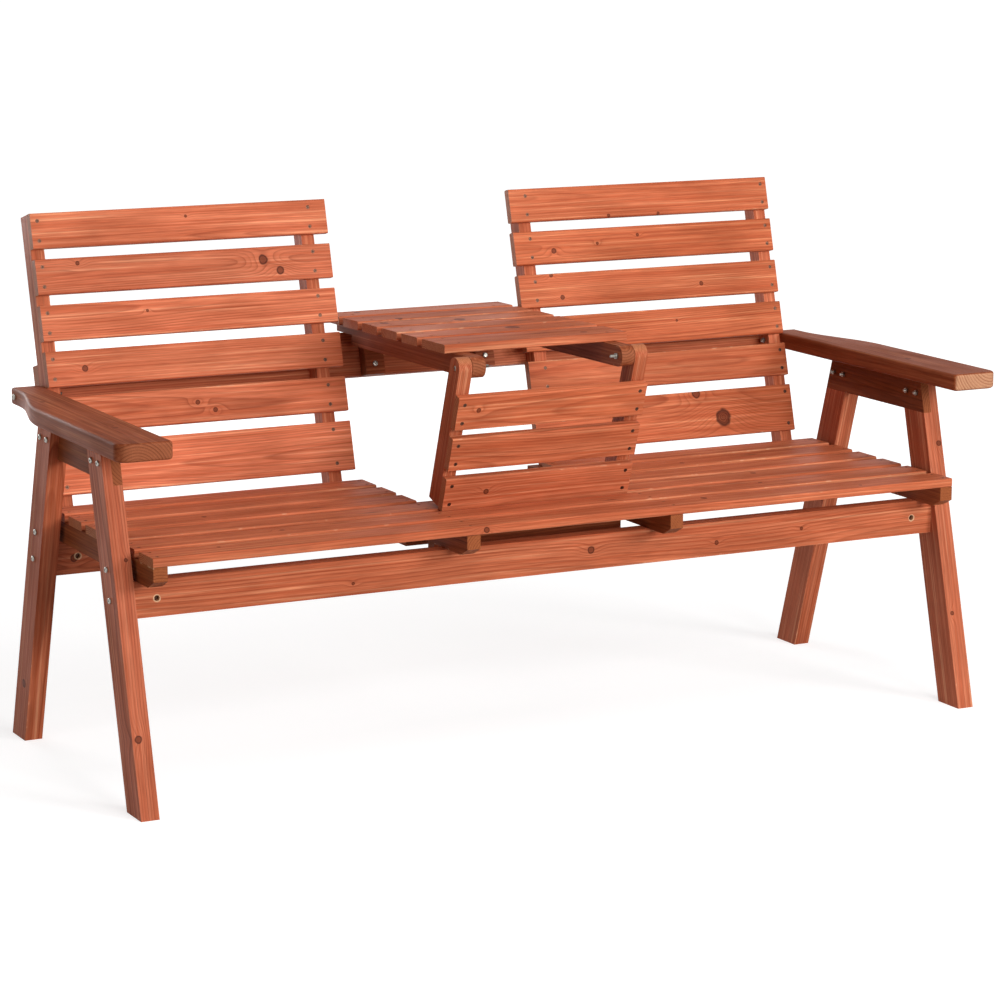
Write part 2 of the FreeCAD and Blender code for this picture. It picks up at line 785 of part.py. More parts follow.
def back_slats():
    """Six rows on each side; the lowest is the wide one."""
    length = JOIST_INNER - S["back_slat_inner"]
    from_outer = HALF_BATTEN
    from_inner = MID_JOIST_OUTER + HALF_BATTEN - S["back_slat_inner"]
    turn = 90 - S["back_lean"]
    for ending, side in SIDES:
        x = low_x(side, S["back_slat_inner"], JOIST_INNER)
        spots = [from_inner, length - from_outer] if side > 0 else [from_outer, length - from_inner]
        for row in range(1, BACK_ROWS + 1):
            width = S["wide_slat"] if row == BACK_ROWS else S["slat_width"]
            y, z = back_point(ZERO, BACK_PITCH * (row - 1) + width)
            slat(f"back_slat_{row}_{ending}", width, length, x, y, z, turn, spots, bench_fasteners)


def cross_rail():
    """The long rail behind the posts, raised in the middle to carry the table."""
    half = JOIST_INNER
    raised = S["raised_length"] / 2
    low = -S["slat_width"]
    outline = [
        (-half, low),
        (half, low),
        (half, ZERO),
        (raised, ZERO),
        (raised, S["raised_high"]),
        (-raised, S["raised_high"]),
        (-raised, ZERO),
        (-half, ZERO),
    ]
    block_x = S["table_rail_inner"] - S["guide_gap"] - S["block_width"] / 2
    bolt_z = low + S["block_bolt"]
    post_xs = (JOIST_INNER - HALF_BATTEN, MID_JOIST_OUTER + HALF_BATTEN)
    screw_zs = (-S["screw_from_edge"], low + S["screw_from_edge"])
    screws = [(x * side, z, SCREW_HOLE) for _, side in SIDES for x in post_xs for z in screw_zs]
    bolts = [(block_x * side, bolt_z, BOLT_HOLE) for _, side in SIDES]
    body = new_body("cross_rail")
    pad(body, bound_sketch(body, "XZ_Plane", outline, screws + bolts), S["batten_thick"], reverse=True)
    step = box_outline(-raised - 1, ZERO, raised + 1, S["raised_high"] + 1)
    pocket(body, bound_sketch(body, "XZ_Plane", step), S["raised_back"])
    round_edges(body, along_x_at((ZERO, ZERO)), S["slat_round"])
    y, z = back_point(POST_REAR, S["cross_rail_drop"])
    place(body, ZERO, y, z, -S["back_lean"])
    turned = body.Placement
    rearward = turned.Rotation.multVec(FreeCAD.Vector(0, 1, 0))
    rear = S["batten_thick"].value
    for x, height, _ in screws:
        proud_screw(turned.multVec(FreeCAD.Vector(x.value, rear, height.value)), -rearward)
    for ending, side in SIDES:
        block = new_body(f"guide_block_{ending}")
        half_block = S["block_width"] / 2
        shape = box_outline(-half_block, low, half_block, low + S["block_high"])
        hole = [(ZERO, bolt_z, BOLT_HOLE)]
        pad(block, bound_sketch(block, "XZ_Plane", shape, hole), S["block_thick"])
        place(block, block_x * side, y, z, -S["back_lean"])
        x = block_x.value * side
        front = FreeCAD.Vector(x, -S["block_thick"].value, bolt_z.value)
        nut = turned.multVec(FreeCAD.Vector(x, rear, bolt_z.value))
        bolt_and_nut(bench_fasteners, turned.multVec(front), nut)


# Table and slatted leg: their local frames have the pivot at Y 0 and Z 0


def panel_slat(label, width, length, along, turn, spots, group):
    """A slat of the table or of its leg, a distance along from the pivot."""
    y = PIVOT_Y + along * cosine(turn) - FACE_TO_PIVOT * sine(turn)
    z = PIVOT_Z + along * sine(turn) + FACE_TO_PIVOT * cosine(turn)
    slat(label, width, length, length / -2, y, z, turn, spots, group)


def table():
    turn = -S["table_slope"]
    low = -HALF_DEEP
    notch_top = low + S["notch_high"]
    end = S["table_rail_end"]
    outline = [
        (-HALF_DEEP, low),
        (S["notch_start"], low),
        (S["notch_start"], notch_top),
        (end, notch_top),
        (end, HALF_DEEP),
        (-HALF_DEEP, HALF_DEEP),
    ]
    for ending, side in SIDES:
        body = prism(f"table_rail_{ending}", outline, S["batten_thick"], [(ZERO, ZERO, PIVOT_HOLE)])
        round_edges(body, along_x_at(outline[0], outline[5]), S["end_round"])
        x = low_x(side, S["table_rail_inner"], TABLE_RAIL_OUTER)
        place(body, x, PIVOT_Y, PIVOT_Z, turn)
        pivot_bolt(side)
    half = S["table_width"] / 2
    rail_x = S["table_rail_inner"] + HALF_BATTEN
    spots = [half - rail_x, half + rail_x]
    along = S["table_edge"]
    for row in range(1, BACK_ROWS + 1):
        width = S["wide_slat"] if row == 1 else S["slat_width"]
        panel_slat(f"table_slat_{row}", width, half * 2, along, turn, spots, table_fasteners)
        along = along + width + S["back_gap"]


def pivot_bolt(side):
    """The bolt that the table and its leg turn on, with a washer between them."""
    head_x = ARM_OUTER - S["pivot_sink"] + S["pivot_play"]
    head = point(head_x * side, PIVOT_Y, PIVOT_Z)
    nut = point(S["table_rail_inner"] * side, PIVOT_Y, PIVOT_Z)
    bolt_and_nut(table_fasteners, head, nut, "pivot_thread_end")
    thick = S["pivot_gap"].value - S["pivot_play"].value
    washer = ring(S["washer_radius"].value, PIVOT_HOLE.value, thick)
    start = point(TABLE_RAIL_OUTER * side, PIVOT_Y, PIVOT_Z)
    table_fasteners.append(pointing(washer, start, AXIS_X * side))


def leg_panel():
    """The slatted leg; its arms are cut short of the lowest slat's edge."""
    foot = -S["leg_panel_long"]
    outline = box_outline(foot + S["arm_foot_cut"], -HALF_DEEP, HALF_DEEP, HALF_DEEP)
    for ending, side in SIDES:
        body = prism(f"leg_panel_arm_{ending}", outline, S["batten_thick"], [(ZERO, ZERO, PIVOT_HOLE)])
        round_edges(body, along_x_at(outline[1], outline[2]), S["end_round"])
        sink = [(ZERO, ZERO, S["head_radius"] + S["bolt_fit"])]
        face = S["batten_thick"] if side > 0 else ZERO
        pocket(body, bound_sketch(body, "YZ_Plane", (), sink, raised=face), S["pivot_sink"], side < 0)
        place(body, low_x(side, ARM_INNER, ARM_OUTER), PIVOT_Y, PIVOT_Z, PANEL_TURN)
    half = S["leg_panel_width"] / 2
    arm_x = ARM_INNER + HALF_BATTEN
    spots = [half - arm_x, half + arm_x]
    for row in range(1, PANEL_ROWS + 1):
        along = foot + S["leg_panel_pitch"] * (PANEL_ROWS - row)
        label = f"leg_panel_slat_{row}"
        panel_slat(label, S["slat_width"], half * 2, along, PANEL_TURN, spots, leg_panel_fasteners)


def fastener_node(label, solids):
    feature = doc.addObject("Part::Feature", label)
    feature.Label = label
    feature.Shape = Part.makeCompound(solids)
    feature.Placement = FreeCAD.Placement()
    parts.append(feature)


def check_and_write():
    """Stops on any failed object or bad shape, and only then writes the parts."""
    doc.recompute()
    for thing in doc.Objects:
        if "Invalid" in thing.State or "Error" in thing.State:
            sys.exit(f"{thing.Label}: {thing.State}")
    for part in parts:
        if part.Shape.isNull() or not part.Shape.isValid():
            sys.exit(f"{part.Label}: bad shape")
    os.makedirs("parts", exist_ok=True)
    for part in parts:
        part.Shape.exportStep(f"parts/{part.Label}.step")
    print(len(parts), "parts")


legs()
arm_rails()
armrests()
aprons()
joists()
centre_stretcher()
support_board()
seat()
posts()
back_slats()
cross_rail()
table()
leg_panel()
fastener_node("bench_fasteners", bench_fasteners)
fastener_node("table_fasteners", table_fasteners)
fastener_node("leg_panel_fasteners", leg_panel_fasteners)
check_and_write()
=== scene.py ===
"""Looks for a stained pine companion seat: boards, fixings, camera and soft studio light."""

import logging
import math
from collections.abc import Callable, Iterator
from dataclasses import dataclass, field, replace
from enum import Enum

import bmesh
import bpy
import numpy as np
from mathutils import Matrix, Vector

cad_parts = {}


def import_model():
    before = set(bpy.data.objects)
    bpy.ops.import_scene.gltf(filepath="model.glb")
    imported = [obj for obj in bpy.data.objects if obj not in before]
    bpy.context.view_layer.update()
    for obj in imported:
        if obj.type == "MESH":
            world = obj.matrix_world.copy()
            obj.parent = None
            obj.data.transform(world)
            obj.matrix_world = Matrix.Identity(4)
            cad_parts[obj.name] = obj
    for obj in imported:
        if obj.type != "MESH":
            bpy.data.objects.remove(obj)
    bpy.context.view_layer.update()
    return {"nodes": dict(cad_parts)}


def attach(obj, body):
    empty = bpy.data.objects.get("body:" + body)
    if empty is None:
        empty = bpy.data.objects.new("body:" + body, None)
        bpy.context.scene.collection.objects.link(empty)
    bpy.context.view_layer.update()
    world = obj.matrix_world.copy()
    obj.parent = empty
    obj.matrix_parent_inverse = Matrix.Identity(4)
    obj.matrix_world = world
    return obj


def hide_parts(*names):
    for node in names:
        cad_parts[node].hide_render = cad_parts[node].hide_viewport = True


LOG = logging.getLogger("companion_seat")
MM = 0.001
SIDES = ("left", "right")
Socket = bpy.types.NodeSocket


def linear(hex_colour: str) -> tuple[float, float, float, float]:
    """Turns an sRGB hex colour into the linear values that a shader takes.

    Args:
        hex_colour: six hex digits, without a leading sign.

    Returns:
        Red, green, blue and an alpha of 1.
    """
    values = []
    for start in (0, 2, 4):
        share = int(hex_colour[start : start + 2], 16) / 255
        low = share <= 0.04045
        values.append(share / 12.92 if low else ((share + 0.055) / 1.055) ** 2.4)
    return (values[0], values[1], values[2], 1.0)


class Recipe:
    """A material's or world's node tree, with the sums that the finishes share."""

    def __init__(self, block: bpy.types.Material | bpy.types.World) -> None:
        """Empties a node tree.

        Args:
            block: the material or world that owns it.
        """
        block.use_nodes = True
        block.node_tree.nodes.clear()
        self.tree = block.node_tree

    def node(self, kind: str, settings: dict | None = None, **inputs) -> bpy.types.Node:
        """Adds a node, sets its properties and fills or links its inputs.

        Args:
            kind: the node's type name, without its ShaderNode prefix.
            settings: properties of the node itself.
            inputs: values or output sockets, by input index as _0 or by name with
                underscores for spaces.

        Returns:
            The new node.
        """
        node = self.tree.nodes.new(f"ShaderNode{kind}")
        for name, value in (settings or {}).items():
            setattr(node, name, value)
        for name, value in inputs.items():
            key = int(name[1:]) if name.startswith("_") else name.replace("_", " ")
            if isinstance(value, Socket):
                self.tree.links.new(value, node.inputs[key])
            else:
                node.inputs[key].default_value = value
        return node

    def sum(self, operation: str, *values: Socket | float) -> Socket:
        """Adds one Math node and gives its result."""
        inputs = {f"_{index}": value for index, value in enumerate(values)}
        return self.node("Math", {"operation": operation}, **inputs).outputs[0]

    def times(self, one: Socket | float, other: Socket | float) -> Socket:
        """Multiplies two numbers."""
        return self.sum("MULTIPLY", one, other)

    def squares(self, one: Socket, other: Socket) -> Socket:
        """Gives the sum of two squares."""
        return self.sum("MULTIPLY_ADD", one, one, self.times(other, other))

    def join(self, kept: Socket | None, new: Socket, operation: str = "MAXIMUM") -> Socket:
        """Joins a value to what was kept so far, if anything was."""
        return new if kept is None else self.sum(operation, kept, new)

    def vector(self, operation: str, *values: Socket | tuple, out: str = "Vector") -> Socket:
        """Adds one Vector Math node and gives one of its results."""
        inputs = {f"_{index}": value for index, value in enumerate(values)}
        return self.node("VectorMath", {"operation": operation}, **inputs).outputs[out]

    def scale(self, colour: Socket, by: Socket) -> Socket:
        """Makes a colour lighter or darker."""
        node = self.node("VectorMath", {"operation": "SCALE"}, _0=colour, Scale=by)
        return node.outputs[0]

    def remap(
        self, value: Socket, low: float, high: float, to_low: float = 0.0, to_high: float = 1.0
    ) -> Socket:
        """Stretches a value from one range to another and keeps it inside."""
        node = self.node("MapRange", _0=value, _1=low, _2=high, _3=to_low, _4=to_high)
        return node.outputs[0]

    def noise(
        self, place: Socket, scale: tuple, offset: float, detail: float, out: int = 0
    ) -> Socket:
        """Adds noise with so many cells per metre each way, set off from other noise."""
        spot = self.vector("MULTIPLY_ADD", place, scale, (offset, offset * 0.7, -offset))
        return self.node("TexNoise", _0=spot, Scale=1.0, Detail=detail, Roughness=0.55).outputs[out]

    def mix(self, share: Socket | float, one: Socket | tuple, other: Socket | tuple) -> Socket:
        """Mixes two colours."""
        node = self.node("Mix", {"data_type": "RGBA"}, _0=share, _6=one, _7=other)
        return node.outputs[2]

    def surface(self, **inputs: Socket | float) -> None:
        """Ends a material with a shader that has these inputs."""
        shader = self.node("BsdfPrincipled", **inputs)
        self.node("OutputMaterial", Surface=shader.outputs[0])

    def seen(self) -> Socket:
        """Tells rays that show the background from rays that only carry light.

        Returns:
            1 for camera, glossy and transmission rays, and 0 for others.
        """
        path = self.node("LightPath").outputs
        either = self.join(path["Is Camera Ray"], path["Is Glossy Ray"])
        return self.join(either, path["Is Transmission Ray"])


class Lie(Enum):
    """Which way a board's length runs once it is turned level."""

    ALONG_X = 0
    ALONG_Y = 1


class MarkKind(Enum):
    """What a mark on a board is."""

    KNOT = "knot"
    PITCH = "pitch streak"
    BORE_RIM = "bore rim"


class Through(Enum):
    """The way a mark goes through its board: through its face or through its edge."""

    FACE = 1
    EDGE = 2


@dataclass(frozen=True)
class Mark:
    """A knot, a dark streak of pitch, or the raw rim of a bored hole.

    Args:
        along: millimetres along the grain; from the bench's middle for boards along X,
            and from the board's own middle for the others.
        across: millimetres across the grain from the board's middle.
        radius: the dark heart's or the hole's radius, or half the streak's width, in
            millimetres.
        kind: what the mark is.
        through: the way it goes through the board.
    """

    along: float
    across: float
    radius: float
    kind: MarkKind = MarkKind.KNOT
    through: Through = Through.FACE


@dataclass(frozen=True)
class Stain:
    """Penetrating stain on planed pine, brushed on and dried to a satin.

    Soft early wood drinks it and shows red-brown; hard late wood stays as thin dark
    lines; ends show pale rings; rubbed edges show the wood under the stain.
    """

    early: str
    middle: str
    late: str
    dry: str
    end_pale: str
    end_dark: str
    worn: str = "E0B08C"
    knot: str = "74351F"
    knot_rim: str = "30110A"
    raw: str = "E6C49C"
    roughness: float = 0.5
    specular: float = 0.07


RED = Stain("CB7553", "B65C3C", "722B15", "DE9670", "BE7650", "72301A")
BROWN = Stain("985235", "803D23", "4C1E0C", "AC6C48", "9C5A3C", "54240F", specular=0.05)
PALE_END = replace(BROWN, end_pale="C4906E", end_dark="8A4C30")
TAN = Stain("9C5430", "844024", "50240F", "B06C40", "9E5834", "6A3018", specular=0.05)


# the cross nuts' bores, near the ends of both aprons
BORES = (
    Mark(-803, 0, 5.3, MarkKind.BORE_RIM),
    Mark(803, 0, 5.3, MarkKind.BORE_RIM),
)
# the boards' marks, with the larger knots where the photograph shows them
MARKS: dict[str, tuple[Mark, ...]] = {
    "front_leg_left": (Mark(-196, 5, 6), Mark(120, -8, 3)),
    "front_leg_right": (Mark(-150, 6, 4), Mark(190, -9, 5)),
    "rear_leg_left": (
        Mark(-215, 4, 7, through=Through.EDGE),
        Mark(105, -6, 6, through=Through.EDGE),
    ),
    "rear_leg_right": (Mark(20, 8, 5, through=Through.EDGE),),
    "armrest_left": (Mark(-170, -8, 4), Mark(150, 12, 4)),
    "armrest_right": (Mark(-120, 14, 5), Mark(60, -16, 3)),
    "front_apron": (
        Mark(75, 4, 6),
        Mark(-420, -12, 3),
        Mark(352, -8, 4),
        Mark(545, 2, 3),
        *BORES,
    ),
    "rear_apron": (Mark(-811, -4, 6), Mark(240, 8, 5), *BORES),
    "centre_stretcher": (Mark(-60, 6, 4),),
    "seat_slat_1": (
        Mark(-188, 0, 5, through=Through.EDGE),
        Mark(300, 12, 6),
        Mark(640, -12, 3),
        Mark(-700, 8, 3),
    ),
    "seat_slat_2": (
        Mark(-540, 6, 4),
        Mark(130, -14, 4, MarkKind.PITCH),
        Mark(480, 10, 4),
    ),
    "seat_slat_3": (Mark(-330, -10, 4, MarkKind.PITCH), Mark(520, 12, 5)),
    "seat_slat_4_left": (Mark(-620, 4, 4), Mark(-400, -10, 4, MarkKind.PITCH)),
    "seat_slat_5_right": (Mark(450, -8, 4), Mark(620, 10, 4, MarkKind.PITCH)),
    "back_slat_6_right": (Mark(644, -9, 15), Mark(585, 44, 8)),
    "back_slat_1_right": (Mark(429, -30, 3), Mark(546, -31, 3)),
    "back_slat_2_right": (Mark(292, -8, 5), Mark(395, 2, 3), Mark(491, 15, 3)),
    "back_slat_3_right": (Mark(300, -16, 4), Mark(629, -6, 4), Mark(279, 30, 4)),
    "back_slat_4_right": (Mark(560, 8, 2.5),),
    "back_slat_1_left": (Mark(-500, 14, 2.5),),
    "back_slat_2_left": (Mark(-730, 23, 4), Mark(-349, 9, 8), Mark(-315, -14, 7)),
    "back_slat_3_left": (Mark(-600, 12, 2.5),),
    "back_slat_4_left": (Mark(-739, -2, 5),),
    "back_slat_5_left": (Mark(-519, 5, 4), Mark(-484, -12, 4)),
    "cross_rail": (Mark(-500, 6, 6), Mark(330, -10, 5)),
    "table_slat_6": (Mark(-135, 8, 5),),
    "table_slat_5": (Mark(-101, -25, 7), Mark(60, 6, 5, MarkKind.PITCH)),
    "table_slat_4": (Mark(-157, 10, 8), Mark(-2, -8, 10)),
    "table_slat_3": (Mark(90, 6, 5, MarkKind.PITCH), Mark(-150, -6, 3)),
    "table_slat_2": (Mark(34, 12, 12),),
    "table_slat_1": (Mark(120, -12, 6), Mark(43, 14, 5, MarkKind.PITCH)),
    "leg_panel_slat_1": (Mark(-155, 6, 4),),
    "leg_panel_slat_3": (Mark(-112, 2, 5),),
}


@dataclass(frozen=True)
class Board:
    """One board of the frame, and how it lies.

    Args:
        node: the CAD node.
        turn: degrees about X that turn the board level.
        lie: which way its length then runs.
        stain: its finish.
        tone: how light this board came out, against the others; on some seat and back slats it also
            holds painted light.
        ring: the width of a year's growth in millimetres.
        line: how much its growth rings show, from 0 to 1.
        warm: how far the stain came out orange, from 0 to 1.
    """

    node: str
    turn: float
    lie: Lie
    stain: Stain = RED
    tone: float = 1.0
    ring: float = 0.0
    line: float = 0.0
    warm: float = 0.3


class StainedPine:
    """Sawn and planed pine: rings round a pith outside the board, so every face agrees.

    Rings are 3 to 6 mm apart, and fibres are drawn about 0.9 mm wide, coarser than the
    real 0.04 mm, so that they show.
    """

    # noise cells per metre: along the board, across it and through it
    WOBBLE = (60.0, 60.0, 60.0)
    STREAK = (2.4, 1 / (6.0 * MM), 1 / (6.0 * MM))
    FIBRE = (26.0, 1 / (0.9 * MM), 1 / (0.9 * MM))
    CLOUD = (5.0, 16.0, 16.0)
    WANDER = (1.3, 2.0, 2.0)
    # how far the rings wander to the sides, in metres
    BOW = 0.045
    # how far knots, raw rims and rubbed edges cover the stain
    HEART_COVER = 0.85
    RIM_COVER = 0.8
    RAW_COVER = 0.6
    WORN_COVER = 0.5
    # above this radius in millimetres a knot's own rings stand out
    BIG_KNOT = 10.5
    # how much longer than wide a streak of pitch is
    PITCH_LONG = 7.0
    # how far round a knot the rings are pushed aside, along and across, in its radii
    SWIRL_LONG = 4.2
    SWIRL_WIDE = 2.3
    # a year's width and the pith's distance, in millimetres, where they are drawn
    YEAR_MM = (2.8, 5.6)
    PITH_MM = (24, 75)

    def __init__(self, board: Board, node: bpy.types.Object, seed: int) -> None:
        """Measures the board in its own frame and lays its noises.

        Args:
            board: the board.
            node: its CAD object.
            seed: its place in the run of random draws.
        """
        self.board, self.stain = board, board.stain
        self.rng = np.random.default_rng(seed)
        level = Matrix.Rotation(math.radians(board.turn), 3, "X")
        swing = -90.0 if board.lie is Lie.ALONG_Y else 0.0
        self.turn = Matrix.Rotation(math.radians(swing), 3, "Z") @ level
        points = np.array([self.turn @ v.co for v in node.data.vertices])
        low, high = points.min(0), points.max(0)
        self.middle = Vector((low + high) / 2)
        self.size = high - low
        self.material = bpy.data.materials.new(f"stained_pine_{board.node}")
        self.recipe = recipe = Recipe(self.material)
        coords = recipe.node("TexCoord").outputs
        self.place = place = self._own_frame(coords["Object"], -self.middle)
        self.looks = self._own_frame(coords["Normal"], Vector((0, 0, 0)))
        self.parts = recipe.node("SeparateXYZ", _0=place).outputs
        seeds = [float(seed) for seed in self.rng.uniform(-30, 30, 5)]
        self.wobble = recipe.noise(place, self.WOBBLE, seeds[0], 1.0)
        self.wander = recipe.noise(place, self.WANDER, seeds[1], 1.0, out=1)
        self.streak = recipe.noise(place, self.STREAK, seeds[2], 2.0)
        self.fibre = recipe.noise(place, self.FIBRE, seeds[3], 1.0)
        self.cloud = recipe.noise(place, self.CLOUD, seeds[4], 2.0)

    def build(self) -> bpy.types.Material:
        """Builds the board's material.

        Returns:
            The material.
        """
        recipe, stain = self.recipe, self.stain
        heart, rim, raw, swirl = self._marks()
        rings = self._rings(swirl)
        colour = self._end_colour(self._face_colour(rings), rings)
        covers = (
            (heart, self.HEART_COVER, stain.knot),
            (rim, self.RIM_COVER, stain.knot_rim),
            (raw, self.RAW_COVER, stain.raw),
            (self._wear(), self.WORN_COVER, stain.worn),
        )
        for shape, cover, above in covers:
            if shape is not None:
                colour = recipe.mix(recipe.times(shape, cover), colour, linear(above))
        self._surface(colour, rings)
        return self.material

    def _own_frame(self, vector: Socket, shift: Vector) -> Socket:
        """Turns a vector to the board's own frame: X along it, Y across, Z through.

        Args:
            vector: the vector in the object's frame.
            shift: what is added once it is turned.

        Returns:
            The turned vector.
        """
        mapping = self.recipe.node("Mapping", {"vector_type": "POINT"}, _0=vector)
        mapping.inputs["Rotation"].default_value = self.turn.to_euler("XYZ")
        mapping.inputs["Location"].default_value = shift
        return mapping.outputs[0]

    def _marks(self) -> tuple[Socket | None, ...]:
        """Adds the knots, the streaks of pitch and the raw rims of bores.

        Returns:
            The knots' hearts, all dark rims, the raw rims, and what the knots add to
            the rings' radius; each None where the board has none.
        """
        recipe = self.recipe
        heart = rim = raw = swirl = None
        off_middle = self.middle.x / MM if self.board.lie is Lie.ALONG_X else 0.0
        for mark in MARKS.get(self.board.node, ()):
            radius = mark.radius * MM
            beside = recipe.sum("SUBTRACT", self.parts[0], (mark.along - off_middle) * MM)
            above = recipe.sum("SUBTRACT", self.parts[mark.through.value], mark.across * MM)
            bend = recipe.sum("MULTIPLY_ADD", self.wobble, radius * 0.8, -radius * 0.4)
            if mark.kind is MarkKind.PITCH:
                slim = recipe.sum("DIVIDE", beside, self.PITCH_LONG)
                far = recipe.sum("ADD", recipe.sum("SQRT", recipe.squares(slim, above)), bend)
                rim = recipe.join(rim, recipe.remap(far, radius * 1.2, radius * 0.3, 0.0, 0.85))
                continue
            far = recipe.sum("ADD", recipe.sum("SQRT", recipe.squares(beside, above)), bend)
            if mark.kind is MarkKind.BORE_RIM:
                raw = recipe.join(raw, recipe.remap(far, radius * 1.5, radius * 1.2))
                continue
            disc = recipe.remap(far, radius * 1.05, radius * 0.85)
            heart = recipe.join(heart, disc)
            rim = recipe.join(rim, self._knot_rim(far, disc, mark.radius))
            wide = recipe.sum("DIVIDE", beside, radius * self.SWIRL_LONG)
            high = recipe.sum("DIVIDE", above, radius * self.SWIRL_WIDE)
            fading = recipe.sum("EXPONENT", recipe.times(recipe.squares(wide, high), -1.0))
            swirl = recipe.join(swirl, recipe.times(fading, radius * 1.5), "ADD")
        return heart, rim, raw, swirl

    def _knot_rim(self, far: Socket, disc: Socket, radius_mm: float) -> Socket:
        """Draws a knot's dark border and its own rings.

        Args:
            far: the distance from its middle in metres.
            disc: 1 inside the knot.
            radius_mm: its radius in millimetres.

        Returns:
            The dark lines, from 0 to 1.
        """
        recipe, radius = self.recipe, radius_mm * MM
        off = recipe.sum("ABSOLUTE", recipe.sum("SUBTRACT", far, radius))
        border = recipe.remap(off, radius * 0.3, radius * 0.06)
        # the knot's own rings are about a fifth of its radius apart
        turns = recipe.sum("SINE", recipe.times(far, math.tau / (radius * 0.22)))
        depth = 0.8 if radius_mm > self.BIG_KNOT else 0.35
        own = recipe.times(disc, recipe.remap(turns, -0.2, 1.0, 0.0, depth))
        return recipe.join(border, own)

    def _rings(self, swirl: Socket | None) -> Socket:
        """Adds the growth rings, from 0 in early wood to 1 in late wood.

        Args:
            swirl: what the knots add to the rings' radius.

        Returns:
            The rings.
        """
        recipe, rng = self.recipe, self.rng
        away = float(rng.uniform(*self.PITH_MM)) * MM
        side = math.radians(float(rng.uniform(-75, 75)))
        above = away * math.cos(side) * float(rng.choice((-1, 1)))
        pith = (0.0, away * math.sin(side), above)
        reach = (0.0, self.BOW, self.BOW)
        centred = tuple(-way / 2 for way in reach)
        bow = recipe.vector("MULTIPLY_ADD", self.wander, reach, centred)
        moved = recipe.vector("ADD", recipe.vector("ADD", self.place, bow), pith)
        across = recipe.vector("MULTIPLY", moved, (0.0, 1.0, 1.0))
        radius = recipe.join(swirl, recipe.vector("LENGTH", across, out="Value"), "ADD")
        spacing = (self.board.ring or float(rng.uniform(*self.YEAR_MM))) * MM
        count = recipe.sum("DIVIDE", radius, spacing)
        year = recipe.sum("FRACT", count)
        # late wood darkens through the season and ends sharply at the winter
        late = recipe.times(recipe.sum("POWER", year, 3.2), recipe.remap(year, 1.0, 0.88))
        one_way = {"noise_dimensions": "1D"}
        seasons = recipe.node("TexNoise", one_way, W=count, Scale=0.45, Detail=1.0)
        return recipe.times(late, recipe.remap(seasons.outputs[0], 0.35, 0.65, 0.45, 1.0))

    def _face_colour(self, rings: Socket) -> Socket:
        """Colours the long faces.

        Args:
            rings: the growth rings.

        Returns:
            The colour.
        """
        recipe, stain, board = self.recipe, self.stain, self.board
        line = board.line or float(self.rng.uniform(0.55, 1.0))
        early = recipe.remap(self.streak, 0.36, 0.64)
        base = recipe.mix(early, linear(stain.middle), linear(stain.early))
        thirst = recipe.remap(self.streak, 0.6, 0.7, 0.0, 0.6)
        dry = recipe.mix(thirst, base, linear(stain.dry))
        lined = recipe.mix(recipe.times(rings, line), dry, linear(stain.late))
        patches = recipe.remap(self.cloud, 0.32, 0.68, 0.84, 1.12)
        threads = recipe.remap(self.fibre, 0.3, 0.7, 0.84, 1.14)
        tone = board.tone * float(self.rng.uniform(0.94, 1.06))
        warm = board.warm + float(self.rng.uniform(-0.2, 0.2))
        # a warm board loses a little green and more blue
        tint = (tone, tone * (1 - 0.08 * warm), tone * (1 - 0.24 * warm))
        toned = recipe.vector("MULTIPLY", lined, tint)
        return recipe.scale(toned, recipe.times(patches, threads))

    def _end_colour(self, face: Socket, rings: Socket) -> Socket:
        """Shows pale and dark rings where the board is cut across.

        Args:
            face: the colour of the long faces.
            rings: the growth rings.

        Returns:
            The colour.
        """
        recipe, stain = self.recipe, self.stain
        along = recipe.sum("ABSOLUTE", recipe.node("SeparateXYZ", _0=self.looks).outputs[0])
        end = recipe.remap(along, 0.55, 0.9, 0.0, 0.9)
        arcs = recipe.remap(rings, 0.0, 0.75)
        cut = recipe.mix(arcs, linear(stain.end_pale), linear(stain.end_dark))
        speck = recipe.remap(self.fibre, 0.3, 0.7, 0.72, 1.1)
        return recipe.mix(end, face, recipe.scale(cut, speck))

    def _wear(self) -> Socket:
        """Marks small rubbed chips along the long edges.

        Returns:
            The wear, from 0 to 1.
        """
        recipe = self.recipe
        gaps = []
        for axis in (1, 2):
            reach = recipe.sum("ABSOLUTE", self.parts[axis])
            gaps.append(recipe.sum("SUBTRACT", float(self.size[axis]) / 2, reach))
        corner = recipe.sum("ADD", *gaps)
        rub = recipe.remap(corner, 3.4 * MM, 1.6 * MM)
        patch = recipe.remap(recipe.sum("ADD", self.wobble, self.streak), 1.2, 1.36)
        return recipe.times(rub, patch)

    def _surface(self, colour: Socket, rings: Socket) -> None:
        """Gives the colour its satin and the grain its relief.

        Args:
            colour: the colour.
            rings: the growth rings.
        """
        recipe, stain = self.recipe, self.stain
        height = recipe.sum("MULTIPLY_ADD", rings, 0.6, self.fibre)
        bump = recipe.node("Bump", Strength=0.5, Distance=0.25 * MM, Height=height)
        rough = recipe.remap(self.cloud, 0.3, 0.7, stain.roughness + 0.1, stain.roughness - 0.08)
        recipe.surface(
            Base_Color=colour,
            Roughness=rough,
            Normal=bump.outputs[0],
            IOR=1.5,
            Specular_IOR_Level=stain.specular,
        )
        self.material.diffuse_color = linear(stain.middle)


@dataclass
class Assembly:
    """A part of the bench made of boards; its boards keep their CAD shapes."""

    # where the boards' runs of random draws start
    FIRST_SEED = 101

    def boards(self) -> Iterator[Board]:
        """Lists the boards."""
        raise NotImplementedError

    def dress(self, nodes: dict[str, bpy.types.Object]) -> None:
        """Gives each board a material of its own.

        Args:
            nodes: the CAD nodes by name.
        """
        for board in self.boards():
            node = nodes[board.node]
            seed = sorted(nodes).index(board.node) + self.FIRST_SEED
            material = StainedPine(board, node, seed).build()
            node.data.materials.clear()
            node.data.materials.append(material)
            LOG.info("%s: %s stained", type(self).__name__, board.node)


